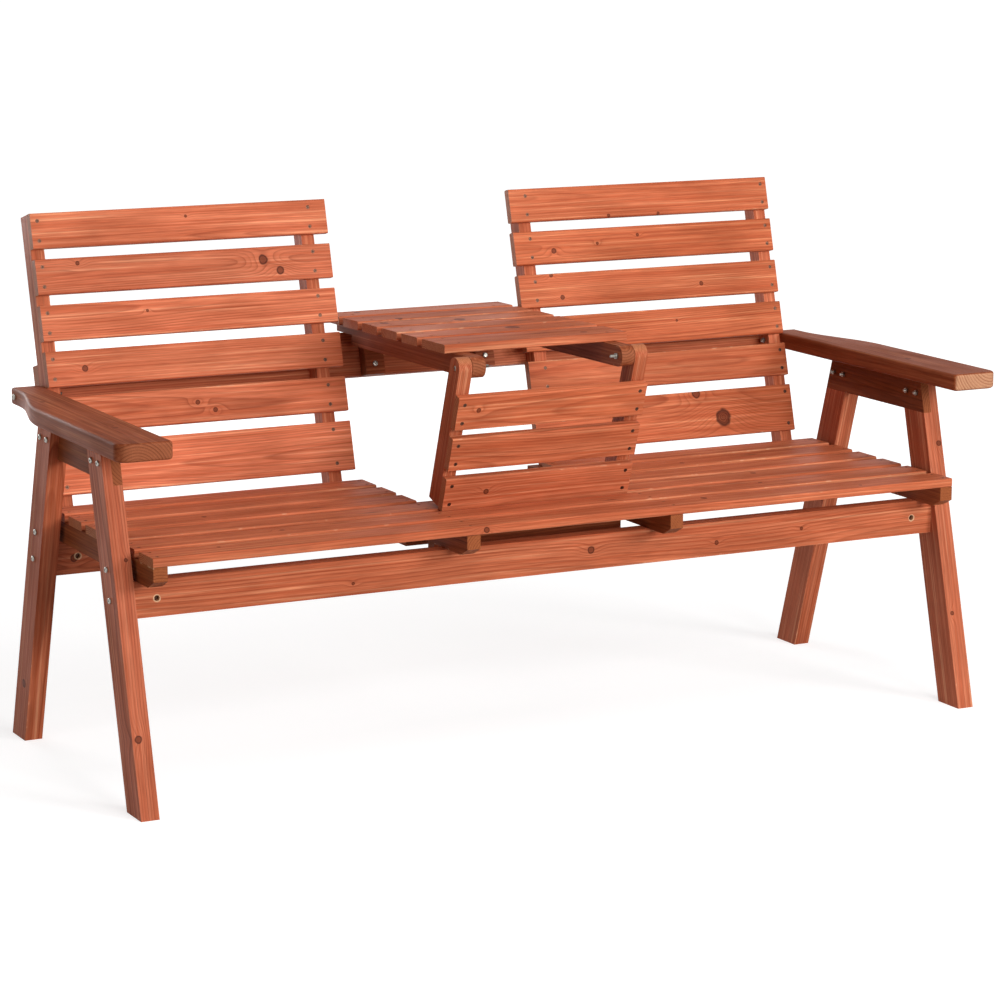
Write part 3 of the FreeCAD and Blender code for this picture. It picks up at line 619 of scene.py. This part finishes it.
@dataclass
class LegFrames(Assembly):
    """The leaning legs, the rails let into their tops, and the armrests."""

    front_lean: float = 14.5
    rear_lean: float = 16.8

    def boards(self) -> Iterator[Board]:
        """Lists legs, rails and armrests.

        Yields:
            Each board.
        """
        for side in SIDES:
            for name, lean in (("front_leg", self.front_lean), ("rear_leg", -self.rear_lean)):
                node = f"{name}_{side}"
                yield Board(node, lean - 90, Lie.ALONG_Y, RED, 0.95, warm=0.05)
            yield Board(f"arm_rail_{side}", 0.0, Lie.ALONG_Y, TAN, 0.82)
            stain = BROWN if side == "left" else PALE_END
            node = f"armrest_{side}"
            yield Board(node, 0.0, Lie.ALONG_Y, stain, ring=5.2, line=0.55)


@dataclass
class Underframe(Assembly):
    """The aprons, the joists, and the boards under the middle."""

    def boards(self) -> Iterator[Board]:
        """Lists aprons, joists, stretcher and support board.

        Yields:
            Each board.
        """
        yield Board("front_apron", -90.0, Lie.ALONG_X)
        yield Board("rear_apron", -90.0, Lie.ALONG_X)
        yield Board("centre_stretcher", -90.0, Lie.ALONG_X, BROWN)
        yield Board("support_board", 0.0, Lie.ALONG_X, BROWN)
        for side in SIDES:
            for name in ("end_joist", "middle_joist"):
                yield Board(f"{name}_{side}", 0.0, Lie.ALONG_Y, TAN)


@dataclass
class Seat(Assembly):
    """The seat's slats: long ones in front and short ones behind, at both sides."""

    long_rows: int = 3
    rows: int = 6

    def boards(self) -> Iterator[Board]:
        """Lists the slats.

        Yields:
            Each board.
        """
        names = [f"seat_slat_{row}" for row in range(1, self.long_rows + 1)]
        for row in range(self.long_rows + 1, self.rows + 1):
            names += [f"seat_slat_{row}_left", f"seat_slat_{row}_right"]
        for name in names:
            # painted sheen: the short left slats are made lighter and all others darker, standing
            # in for the satin sheen on the seat's left
            tone = 1.03 if name.endswith("left") else 0.96
            yield Board(name, 0.0, Lie.ALONG_X, RED, tone)


@dataclass
class Backs(Assembly):
    """The leaning backs: posts, slats, the rail across them and the guide blocks."""

    lean: float = 15.0
    rows: int = 6
    # painted light: back slats made lighter to cancel the shade cast on them
    painted_light_lifts: dict[str, float] = field(
        default_factory=lambda: {
            "back_slat_5_left": 1.06,
            "back_slat_6_left": 1.24,
            "back_slat_6_right": 1.06,
        }
    )

    def boards(self) -> Iterator[Board]:
        """Lists posts, slats, cross rail and guide blocks.

        Yields:
            Each board.
        """
        turn = self.lean - 90
        yield Board("cross_rail", turn, Lie.ALONG_X, RED, 0.9)
        for side, tone, warm in (("left", 1.08, 0.1), ("right", 0.98, 0.75)):
            for row in range(1, self.rows + 1):
                node = f"back_slat_{row}_{side}"
                # painted light: a lift for the slats that shade falls on
                tone_with_painted_light = tone * self.painted_light_lifts.get(node, 1.0)
                yield Board(node, turn, Lie.ALONG_X, RED, tone_with_painted_light, warm=warm)
            for name in ("outer_post", "inner_post"):
                yield Board(f"{name}_{side}", turn, Lie.ALONG_Y, ring=2.8)
            yield Board(f"guide_block_{side}", turn, Lie.ALONG_X, BROWN)


@dataclass
class FoldingTable(Assembly):
    """The table between the seats: two rails under crosswise slats."""

    slope: float = 0.75
    rows: int = 6

    def boards(self) -> Iterator[Board]:
        """Lists slats and rails.

        Yields:
            Each board.
        """
        for row in range(1, self.rows + 1):
            yield Board(f"table_slat_{row}", self.slope, Lie.ALONG_X, RED, 0.93)
        for side in SIDES:
            yield Board(f"table_rail_{side}", self.slope, Lie.ALONG_Y, BROWN, 1.05)


@dataclass
class SlattedLeg(Assembly):
    """The slatted leg that holds the table's front and folds down with it."""

    lean: float = 18.4
    rows: int = 3

    def boards(self) -> Iterator[Board]:
        """Lists slats and arms.

        Yields:
            Each board.
        """
        turn = -self.lean - 90
        for row in range(1, self.rows + 1):
            yield Board(f"leg_panel_slat_{row}", turn, Lie.ALONG_X, RED, 0.95)
        for side in SIDES:
            node = f"leg_panel_arm_{side}"
            yield Board(node, turn, Lie.ALONG_Y, RED, 0.95, ring=2.8)


@dataclass(frozen=True)
class ZincPlate:
    """Steel plated with zinc, or stained over: satin, with clouds about 2 mm across."""

    name: str
    colour: str
    roughness: float

    def build(self) -> bpy.types.Material:
        """Builds the plated steel.

        Returns:
            The material.
        """
        material = bpy.data.materials.new(self.name)
        recipe = Recipe(material)
        place = recipe.node("TexCoord").outputs["Object"]
        cloud = recipe.noise(place, (500.0, 500.0, 500.0), 3.0, 2.0)
        clean = linear(self.colour)
        dull = tuple(0.62 * value for value in clean[:3]) + (1.0,)
        colour = recipe.mix(recipe.remap(cloud, 0.35, 0.6), dull, clean)
        rough = recipe.remap(cloud, 0.3, 0.7, self.roughness + 0.12, self.roughness - 0.08)
        bump = recipe.node("Bump", Strength=0.3, Distance=0.1 * MM, Height=cloud)
        relief = bump.outputs[0]
        recipe.surface(Base_Color=colour, Roughness=rough, Normal=relief, Metallic=1.0)
        material.diffuse_color = clean
        return material


class FixingKind(Enum):
    """A kind of fixing."""

    BOLT = "bolts"
    NUT = "nuts"
    COACH_SCREW = "coach_screws"
    WOOD_SCREW = "wood_screws"
    SLEEVE = "sleeves"
    WASHER = "washers"
    CROSS_NUT = "cross_nuts"


@dataclass(frozen=True)
class Seen:
    """A fixing as the frame holds it.

    Args:
        kind: what it is.
        long: its length in metres.
        place: turns and moves a copy that stands on its tip along Z, with the
            outer end's middle at the origin, to where the fixing is.
    """

    kind: FixingKind
    long: float
    place: Matrix


def islands(mesh: bpy.types.Mesh) -> list[np.ndarray]:
    """Splits a mesh into its loose pieces.

    Args:
        mesh: the mesh; it is left as it is.

    Returns:
        Each piece's points, in the same order at each run.
    """
    shape = bmesh.new()
    shape.from_mesh(mesh)
    bmesh.ops.remove_doubles(shape, verts=shape.verts, dist=1e-6)
    waiting = set(shape.verts)
    found = []
    while waiting:
        stack = [waiting.pop()]
        points = []
        while stack:
            vert = stack.pop()
            points.append(tuple(vert.co))
            beside = {edge.other_vert(vert) for edge in vert.link_edges} & waiting
            waiting -= beside
            stack += beside
        # sorted, because the order within a set is another one at each run
        found.append(np.array(sorted(points)))
    shape.free()
    return sorted(found, key=lambda points: tuple(np.round(points.mean(0), 5)))


class Workbench:
    """A workbench for small turned pieces: bpy's edit tools on one piece at a time."""

    # the least part of a level face's normal that lies along Z
    LEVEL = 0.99
    # faces this near to each other along Z are at one height, in metres
    SAME = 1e-6

    @staticmethod
    def clear() -> None:
        """Leaves edit mode and deselects everything."""
        if bpy.context.mode != "OBJECT":
            bpy.ops.object.mode_set(mode="OBJECT")
        bpy.ops.object.select_all(action="DESELECT")

    @classmethod
    def rod(cls, sides: int, radius: float, high: float, top: float = 0.0) -> bpy.types.Object:
        """Starts a round or many-sided rod and enters edit mode.

        Args:
            sides: how many sides it has.
            radius: its radius in metres.
            high: its height in metres.
            top: the height of its top.

        Returns:
            The rod.
        """
        cls.clear()
        bpy.ops.mesh.primitive_cylinder_add(
            vertices=sides, radius=radius, depth=high, location=(0.0, 0.0, top - high / 2)
        )
        bpy.ops.object.transform_apply(location=True, rotation=True, scale=True)
        bpy.ops.object.mode_set(mode="EDIT")
        return bpy.context.object

    @staticmethod
    def pick(wanted: Callable[[bmesh.types.BMFace], bool]) -> None:
        """Selects the faces that are wanted, and nothing else.

        Args:
            wanted: says whether a face is wanted.
        """
        bpy.ops.mesh.select_all(action="DESELECT")
        bpy.ops.mesh.select_mode(type="FACE")
        shape = bmesh.from_edit_mesh(bpy.context.object.data)
        for face in shape.faces:
            face.select_set(wanted(face))
        bmesh.update_edit_mesh(bpy.context.object.data)

    @classmethod
    def reach(cls, face: bmesh.types.BMFace, way: int) -> float:
        """Gives how far along Z a level face lies, and less than any for the others."""
        level = face.normal.z * way > cls.LEVEL
        return face.calc_center_median().z * way if level else -math.inf

    @classmethod
    def pick_end(cls, way: int) -> None:
        """Selects the level face that lies furthest along Z.

        Args:
            way: 1 for the highest face, -1 for the lowest.
        """
        shape = bmesh.from_edit_mesh(bpy.context.object.data)
        far = max(cls.reach(face, way) for face in shape.faces)
        cls.pick(lambda face: cls.reach(face, way) > far - cls.SAME)

    @classmethod
    def bevel_end(cls, way: int, width: float, segments: int = 2) -> None:
        """Bevels round an end and selects the face that is left of it.

        Args:
            way: 1 for the highest face, -1 for the lowest.
            width: the bevel's width in metres.
            segments: how many faces it has, from one side to the other.
        """
        cls.pick_end(way)
        bpy.ops.mesh.bevel(offset=width, segments=segments, affect="EDGES")
        cls.pick_end(way)

    @staticmethod
    def draw(depth: float, size: float = 1.0) -> None:
        """Extrudes the selected face along Z and scales its far end.

        Args:
            depth: how far along Z, in metres.
            size: the far end's size against the near end's.
        """
        bpy.ops.mesh.extrude_region_move(TRANSFORM_OT_translate={"value": (0.0, 0.0, depth)})
        if size != 1.0:
            bpy.ops.transform.resize(value=(size, size, 1.0))

    @staticmethod
    def reshape(outline: Callable[[float], tuple[float, float]]) -> None:
        """Moves the selected face's corners to an outline.

        Args:
            outline: gives X and Y for a corner's angle in degrees.
        """
        shape = bmesh.from_edit_mesh(bpy.context.object.data)
        for face in shape.faces:
            if face.select:
                for vert in face.verts:
                    angle = math.degrees(math.atan2(vert.co.y, vert.co.x)) % 360
                    vert.co.x, vert.co.y = outline(angle)
        bmesh.update_edit_mesh(bpy.context.object.data)

    @classmethod
    def done(cls, piece: bpy.types.Object, sharp: float = 35.0) -> bpy.types.Object:
        """Leaves edit mode, closes normals and smooths all but sharp edges.

        Args:
            piece: the piece.
            sharp: the sharpest angle that is smoothed, in degrees.

        Returns:
            The piece.
        """
        bpy.ops.mesh.select_all(action="SELECT")
        bpy.ops.mesh.normals_make_consistent(inside=False)
        bpy.ops.object.mode_set(mode="OBJECT")
        bpy.ops.object.shade_smooth_by_angle(angle=math.radians(sharp))
        cls.clear()
        return piece


@dataclass
class Fixings:
    """Bolts, nuts, screws and washers, each kind modelled once and copied.

    Sizes are in millimetres, as in the frame: M6 bolts with domed socket heads, and
    4 mm countersunk screws with cross recesses.
    """

    head_radius: float = 5.5
    head_high: float = 3.6
    head_round: float = 2.3
    socket_flats: float = 4.0
    socket_deep: float = 2.2
    shank_radius: float = 3.0
    thread_pitch: float = 1.0
    thread_long: float = 9.0
    nut_flats: float = 10.0
    nut_high: float = 5.0
    chamfer: float = 0.7
    screw_head_radius: float = 3.6
    screw_head_high: float = 2.4
    screw_rim: float = 0.3
    screw_point: float = 4.0
    screw_radius: float = 2.0
    cross_half_long: float = 1.9
    cross_half_wide: float = 0.5
    cross_deep: float = 1.5
    washer_radius: float = 9.0
    sleeve_radius: float = 7.0
    cross_nut_radius: float = 5.0
    # what tells the frame's fixings apart: bolts and screws are longer than the first,
    # nuts and sleeves shorter than the next two, and washers thinner than the fourth;
    # the last two are the least widths of a bolt's and a coach screw's head
    screw_least: float = 30.0
    nut_most: float = 13.0
    sleeve_most: float = 16.0
    washer_thin: float = 2.0
    bolt_head_least: float = 10.0
    coach_head_least: float = 11.2
    tip: float = 0.6
    thread_waist: float = 0.86
    corners: int = 24
    dull_kinds: tuple[FixingKind, ...] = (FixingKind.WOOD_SCREW, FixingKind.CROSS_NUT)
    bodies: tuple[str, ...] = ("bench", "table", "leg_panel")
    made: dict[tuple[FixingKind, float], bpy.types.Object] = field(default_factory=dict)

    def build(self, nodes: dict[str, bpy.types.Object]) -> None:
        """Replaces the frame's plain fixings with detailed ones.

        Args:
            nodes: the CAD nodes by name.
        """
        bright = ZincPlate("zinc_plated_steel", "A8A49C", 0.3).build()
        dull = ZincPlate("stained_over_screw_steel", "6A4A3C", 0.48).build()
        for body in self.bodies:
            node = f"{body}_fasteners"
            groups: dict[FixingKind, list[Seen]] = {}
            for points in islands(nodes[node].data):
                seen = self._recognise(points)
                groups.setdefault(seen.kind, []).append(seen)
            for kind, group in groups.items():
                piece = self._copy_all(f"{body}_{kind.value}", group)
                piece.data.materials.clear()
                piece.data.materials.append(dull if kind in self.dull_kinds else bright)
                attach(piece, body)
                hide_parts(node)
                LOG.info("Fixings: %s made, %d of them", piece.name, len(group))
        for template in self.made.values():
            bpy.data.objects.remove(template)

    def _recognise(self, points: np.ndarray) -> Seen:
        """Works out what a loose piece of the frame's fixings is and where it points.

        Args:
            points: the piece's points.

        Returns:
            The fixing.
        """
        middle = (points.min(0) + points.max(0)) / 2
        ways = np.linalg.svd(points - points.mean(0), full_matrices=False)[2]
        spans = [float(np.ptp(points @ way)) / MM for way in ways]
        order = sorted(range(3), key=lambda index: -spans[index])
        long, wide, thin = (spans[index] for index in order)
        is_screw = long > self.screw_least
        if is_screw:
            kind = FixingKind.WOOD_SCREW
            if wide > self.bolt_head_least:
                kind = FixingKind.BOLT
            if wide > self.coach_head_least:
                kind = FixingKind.COACH_SCREW
        elif long < self.nut_most:
            kind = FixingKind.NUT
        elif thin < self.washer_thin:
            kind = FixingKind.WASHER
        else:
            kind = FixingKind.SLEEVE if long < self.sleeve_most else FixingKind.CROSS_NUT
        flat = kind in (FixingKind.NUT, FixingKind.WASHER, FixingKind.SLEEVE)
        # flat pieces point along their thinnest way, and the others along their longest
        axis, side = (ways[order[2]], ways[order[0]]) if flat else (ways[order[0]], ways[order[1]])
        heights = points @ axis
        span = float(np.ptp(heights))
        centre = (float(heights.min()) + float(heights.max())) / 2
        if is_screw:
            # the head's end is the wide one
            line = points - np.outer(heights, axis)
            spread = np.linalg.norm(line - line.mean(0), axis=1)
            wide_end = heights[spread > spread.max() * 0.9].mean()
            if wide_end < centre:
                axis, centre = -axis, -centre
        up = Vector(axis)
        top = Vector(middle) + up * (span / 2)
        if is_screw:
            top = Vector(points.mean(0))
            top += up * (centre + span / 2 - top.dot(up))
        right = Vector(side)
        right = (right - up * right.dot(up)).normalized()
        turn = Matrix((right, up.cross(right), up)).transposed().to_4x4()
        return Seen(kind, round(span, 5), Matrix.Translation(top) @ turn)

    def _copy_all(self, name: str, group: list[Seen]) -> bpy.types.Object:
        """Copies the right fixing to each place and joins the copies.

        Args:
            name: the joined piece's name.
            group: the fixings of one kind on one body.

        Returns:
            The joined piece.
        """
        copies = []
        for seen in group:
            key = (seen.kind, seen.long)
            if key not in self.made:
                self.made[key] = self._make(seen.kind, seen.long)
            mesh = self.made[key].data.copy()
            mesh.transform(seen.place)
            copy = bpy.data.objects.new(name, mesh)
            bpy.context.scene.collection.objects.link(copy)
            copies.append(copy)
        Workbench.clear()
        for copy in copies:
            copy.select_set(True)
        bpy.context.view_layer.objects.active = copies[0]
        if len(copies) > 1:
            bpy.ops.object.join()
        joined = bpy.context.view_layer.objects.active
        joined.name = name
        joined.data.name = name
        Workbench.clear()
        return joined

    def _make(self, kind: FixingKind, long: float) -> bpy.types.Object:
        """Makes one fixing, its outer end's middle at the origin.

        Args:
            kind: its kind.
            long: its length in metres.

        Returns:
            The fixing.
        """
        makers = {
            FixingKind.BOLT: self._bolt,
            FixingKind.WOOD_SCREW: self._wood_screw,
            FixingKind.COACH_SCREW: self._coach_screw,
            FixingKind.NUT: lambda _: self._nut(),
            FixingKind.CROSS_NUT: self._cross_nut,
            FixingKind.WASHER: lambda high: self._ring(self.washer_radius, high),
            FixingKind.SLEEVE: lambda high: self._ring(self.sleeve_radius, high),
        }
        return makers[kind](long)

    def _hexagon(self, angle: float) -> tuple[float, float]:
        """Gives the outline of a bolt's socket.

        Args:
            angle: the corner's angle in degrees.

        Returns:
            The corner's X and Y in metres.
        """
        reach = self.socket_flats / 2 * MM / math.cos(math.radians(angle % 60 - 30))
        turned = math.radians(angle)
        return reach * math.cos(turned), reach * math.sin(turned)

    def _cross(self, angle: float) -> tuple[float, float]:
        """Gives the outline of a screw's cross recess.

        Args:
            angle: the corner's angle in degrees.

        Returns:
            The corner's X and Y in metres.
        """
        long, wide = self.cross_half_long * MM, self.cross_half_wide * MM
        arm = round(angle / 90) % 4
        local = (angle + 45) % 90 - 45
        step = round(abs(local) / 15)
        corners = ((long, 0.0), (long, wide), ((long + wide) / 2, wide), (wide, wide))
        x, y = corners[step]
        y = math.copysign(y, local)
        cos, sin = math.cos(math.radians(90 * arm)), math.sin(math.radians(90 * arm))
        return x * cos - y * sin, x * sin + y * cos

    def _shank(self, long: float, threaded: bool) -> None:
        """Draws the selected face out to a shank, with thread ridges near its tip.

        Args:
            long: the shank's length in metres.
            threaded: whether its end shows a thread.
        """
        thread = self.thread_long * MM if threaded else 0.0
        Workbench.draw(-(long - thread - self.tip * MM))
        step = self.thread_pitch * MM / 2
        for _ in range(round(thread / (2 * step))):
            Workbench.draw(-step, self.thread_waist)
            Workbench.draw(-step, 1 / self.thread_waist)
        Workbench.draw(-self.tip * MM, 0.8)

    def _bolt(self, long: float) -> bpy.types.Object:
        """Makes a bolt with a domed head, a six-sided socket and a threaded end.

        Args:
            long: its length in metres.

        Returns:
            The bolt.
        """
        piece = Workbench.rod(self.corners, self.head_radius * MM, self.head_high * MM)
        Workbench.bevel_end(1, self.head_round * MM, 4)
        bpy.ops.mesh.inset(thickness=0.7 * MM)
        Workbench.reshape(self._hexagon)
        Workbench.draw(-self.socket_deep * MM)
        Workbench.pick_end(-1)
        bpy.ops.mesh.inset(thickness=(self.head_radius - self.shank_radius) * MM)
        self._shank(long - self.head_high * MM, threaded=True)
        return Workbench.done(piece)

    def _wood_screw(self, long: float) -> bpy.types.Object:
        """Makes a countersunk screw with a cross recess and a pointed tip.

        Args:
            long: its length in metres.

        Returns:
            The screw.
        """
        piece = Workbench.rod(self.corners, self.screw_head_radius * MM, self.screw_rim * MM)
        Workbench.pick_end(1)
        bpy.ops.mesh.inset(thickness=1.2 * MM)
        Workbench.reshape(self._cross)
        Workbench.draw(-self.cross_deep * MM, 0.6)
        Workbench.pick_end(-1)
        taper = self.screw_radius / self.screw_head_radius
        Workbench.draw(-(self.screw_head_high - self.screw_rim) * MM, taper)
        Workbench.draw(-(long - (self.screw_head_high + self.screw_point) * MM))
        Workbench.draw(-self.screw_point * MM, 0.1)
        return Workbench.done(piece)

    def _coach_screw(self, long: float) -> bpy.types.Object:
        """Makes a screw with a six-sided head.

        Args:
            long: its length in metres.

        Returns:
            The screw.
        """
        head = self.screw_head_high * 1.5
        piece = Workbench.rod(6, self.nut_flats / math.sqrt(3) * MM, head * MM)
        Workbench.bevel_end(1, self.chamfer * MM)
        Workbench.pick_end(-1)
        bpy.ops.mesh.inset(thickness=(self.nut_flats / 2 - self.shank_radius) * MM)
        self._shank(long - head * MM, threaded=False)
        return Workbench.done(piece)

    def _nut(self) -> bpy.types.Object:
        """Makes a six-sided nut, chamfered at both faces, with its bore's mouth.

        Returns:
            The nut.
        """
        mouth = 0.8
        piece = Workbench.rod(6, self.nut_flats / math.sqrt(3) * MM, self.nut_high * MM)
        for end in (1, -1):
            Workbench.bevel_end(end, self.chamfer * MM)
            bpy.ops.mesh.inset(thickness=(self.nut_flats / 2 - self.shank_radius - mouth) * MM)
            Workbench.draw(-end * mouth * MM, self.thread_waist)
        return Workbench.done(piece)

    def _cross_nut(self, long: float) -> bpy.types.Object:
        """Makes a cross nut with chamfered ends and a screwdriver slot in each.

        Args:
            long: its length in metres.

        Returns:
            The cross nut.
        """
        rounding, slot_inset, slot_narrow, slot_deep = 0.8 * MM, 1.2 * MM, 0.28, 1.5 * MM
        piece = Workbench.rod(self.corners, self.cross_nut_radius * MM, long)
        for end in (1, -1):
            Workbench.bevel_end(end, rounding)
            bpy.ops.mesh.inset(thickness=slot_inset)
            bpy.ops.transform.resize(value=(1.0, slot_narrow, 1.0))
            Workbench.draw(-end * slot_deep)
        return Workbench.done(piece)

    def _ring(self, radius: float, high: float) -> bpy.types.Object:
        """Makes a washer or sleeve.

        Args:
            radius: its outer radius in millimetres.
            high: its height in metres.

        Returns:
            The ring.
        """
        Workbench.clear()
        bpy.ops.mesh.primitive_circle_add(
            vertices=self.corners, radius=radius * MM, fill_type="NGON"
        )
        piece = bpy.context.object
        bpy.ops.object.mode_set(mode="EDIT")
        bpy.ops.mesh.select_all(action="SELECT")
        bpy.ops.mesh.inset(thickness=(radius - self.shank_radius - 0.1) * MM)
        bpy.ops.mesh.delete(type="FACE")
        bpy.ops.mesh.select_all(action="SELECT")
        Workbench.draw(-high)
        bpy.ops.mesh.select_all(action="SELECT")
        bpy.ops.mesh.normals_make_consistent(inside=False)
        Workbench.pick(lambda face: abs(face.normal.z) > Workbench.LEVEL)
        bpy.ops.mesh.bevel(offset=0.15 * MM, segments=1, affect="EDGES")
        return Workbench.done(piece)


@dataclass
class Studio:
    """The photographer's table: pale floor, soft lamps and the photo's viewing angle."""

    camera_place: tuple[float, float, float] = (-2.9130, -5.65067, 1.6816)
    azimuth: float = 27.403
    pitch: float = 11.695
    roll: float = 0.154
    focal: float = 119.9
    shift_x: float = 0.0001
    shift_y: float = 0.0336
    sensor: float = 36.0
    target: tuple[float, float, float] = (0.0, 0.0, 0.5)
    # each lamp's place and side in metres, and its power in watts
    lamps: dict[str, tuple] = field(
        default_factory=lambda: {
            "key_light": ((3.1, -5.6, 2.7), 2.4, 225.0),
            "front_light": ((0.2, -6.6, 2.0), 2.0, 205.0),
            "top_light": ((0.3, -1.6, 4.6), 3.0, 75.0),
            "back_light": ((-1.4, 5.5, 1.5), 2.4, 140.0),
            "side_light": ((-5.2, -1.6, 1.7), 2.6, 26.0),
        }
    )
    # how strongly the world lights the bench, against how strongly it is seen
    fill: float = 0.11
    floor_side: float = 60.0
    floor_shade: float = 0.5
    # how strongly the floor glows near the bench, and where that starts and ends to fade
    # to white, in metres from the middle
    near_glow: float = 0.72
    glow_from: float = 1.4
    glow_to: float = 3.6

    def set_up(self) -> None:
        """Sets camera, lamps, world, floor and the plain view transform."""
        self._camera()
        for name, (place, size, power) in self.lamps.items():
            self._lamp(name, place, size, power)
        self._world()
        self._floor()
        bpy.context.scene.view_settings.view_transform = "Standard"
        LOG.info("Studio: camera, lamps and floor set")

    def _camera(self) -> None:
        """Sets the camera where the photo was taken from."""
        data = bpy.data.cameras.new("photo_camera")
        data.lens = self.focal
        data.sensor_width = self.sensor
        data.shift_x = self.shift_x
        data.shift_y = self.shift_y
        data.clip_end = 60.0
        camera = bpy.data.objects.new("photo_camera", data)
        bpy.context.scene.collection.objects.link(camera)
        turn = (
            Matrix.Rotation(math.radians(-self.azimuth), 4, "Z")
            @ Matrix.Rotation(math.radians(90 - self.pitch), 4, "X")
            @ Matrix.Rotation(math.radians(self.roll), 4, "Z")
        )
        camera.matrix_world = Matrix.Translation(self.camera_place) @ turn
        bpy.context.scene.camera = camera

    def _lamp(self, name: str, place: tuple, size: float, power: float) -> None:
        """Adds a soft square lamp that faces the bench.

        Args:
            name: the lamp's name.
            place: where it hangs, in metres.
            size: its side, in metres.
            power: its power, in watts.
        """
        data = bpy.data.lights.new(name, "AREA")
        data.size = size
        data.energy = power
        lamp = bpy.data.objects.new(name, data)
        bpy.context.scene.collection.objects.link(lamp)
        lamp.location = place
        facing = Vector(self.target) - Vector(place)
        lamp.rotation_euler = facing.to_track_quat("-Z", "Y").to_euler()

    def _world(self) -> None:
        """Sets a white background that lights the bench only weakly."""
        world = bpy.data.worlds.new("studio_world")
        recipe = Recipe(world)
        strength = recipe.sum("MULTIPLY_ADD", recipe.seen(), 1.0 - self.fill, self.fill)
        back = recipe.node("Background", Color=linear("FFFFFF"), Strength=strength)
        recipe.node("OutputWorld", Surface=back.outputs[0])
        bpy.context.scene.world = world

    def _floor(self) -> None:
        """Lays a pale floor that keeps the bench's shadow and else shows white."""
        Workbench.clear()
        bpy.ops.mesh.primitive_plane_add(size=self.floor_side, location=(0.0, 0.0, 0.0))
        floor = bpy.context.object
        floor.name = "studio_floor"
        material = bpy.data.materials.new("matt_pale_floor")
        recipe = Recipe(material)
        shade = (self.floor_shade,) * 3 + (1.0,)
        paper = recipe.node("BsdfDiffuse", Color=shade)
        place = recipe.node("TexCoord").outputs["Object"]
        away = recipe.vector("LENGTH", place, out="Value")
        strength = recipe.remap(away, self.glow_from, self.glow_to, self.near_glow, 1.0)
        glow = recipe.node("Emission", Color=linear("FFFFFF"), Strength=strength)
        lit = recipe.node("AddShader", _0=paper.outputs[0], _1=glow.outputs[0])
        mix = recipe.node("MixShader", _0=recipe.seen(), _1=paper.outputs[0], _2=lit.outputs[0])
        recipe.node("OutputMaterial", Surface=mix.outputs[0])
        floor.data.materials.append(material)


def main() -> None:
    """Builds and dresses the sub-assemblies in order."""
    logging.basicConfig(level=logging.INFO, format="%(message)s")
    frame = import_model()
    for assembly in (LegFrames(), Underframe(), Seat(), Backs(), FoldingTable(), SlattedLeg()):
        assembly.dress(frame["nodes"])
    Fixings().build(frame["nodes"])
    Studio().set_up()


if __name__ == "__main__":
    main()
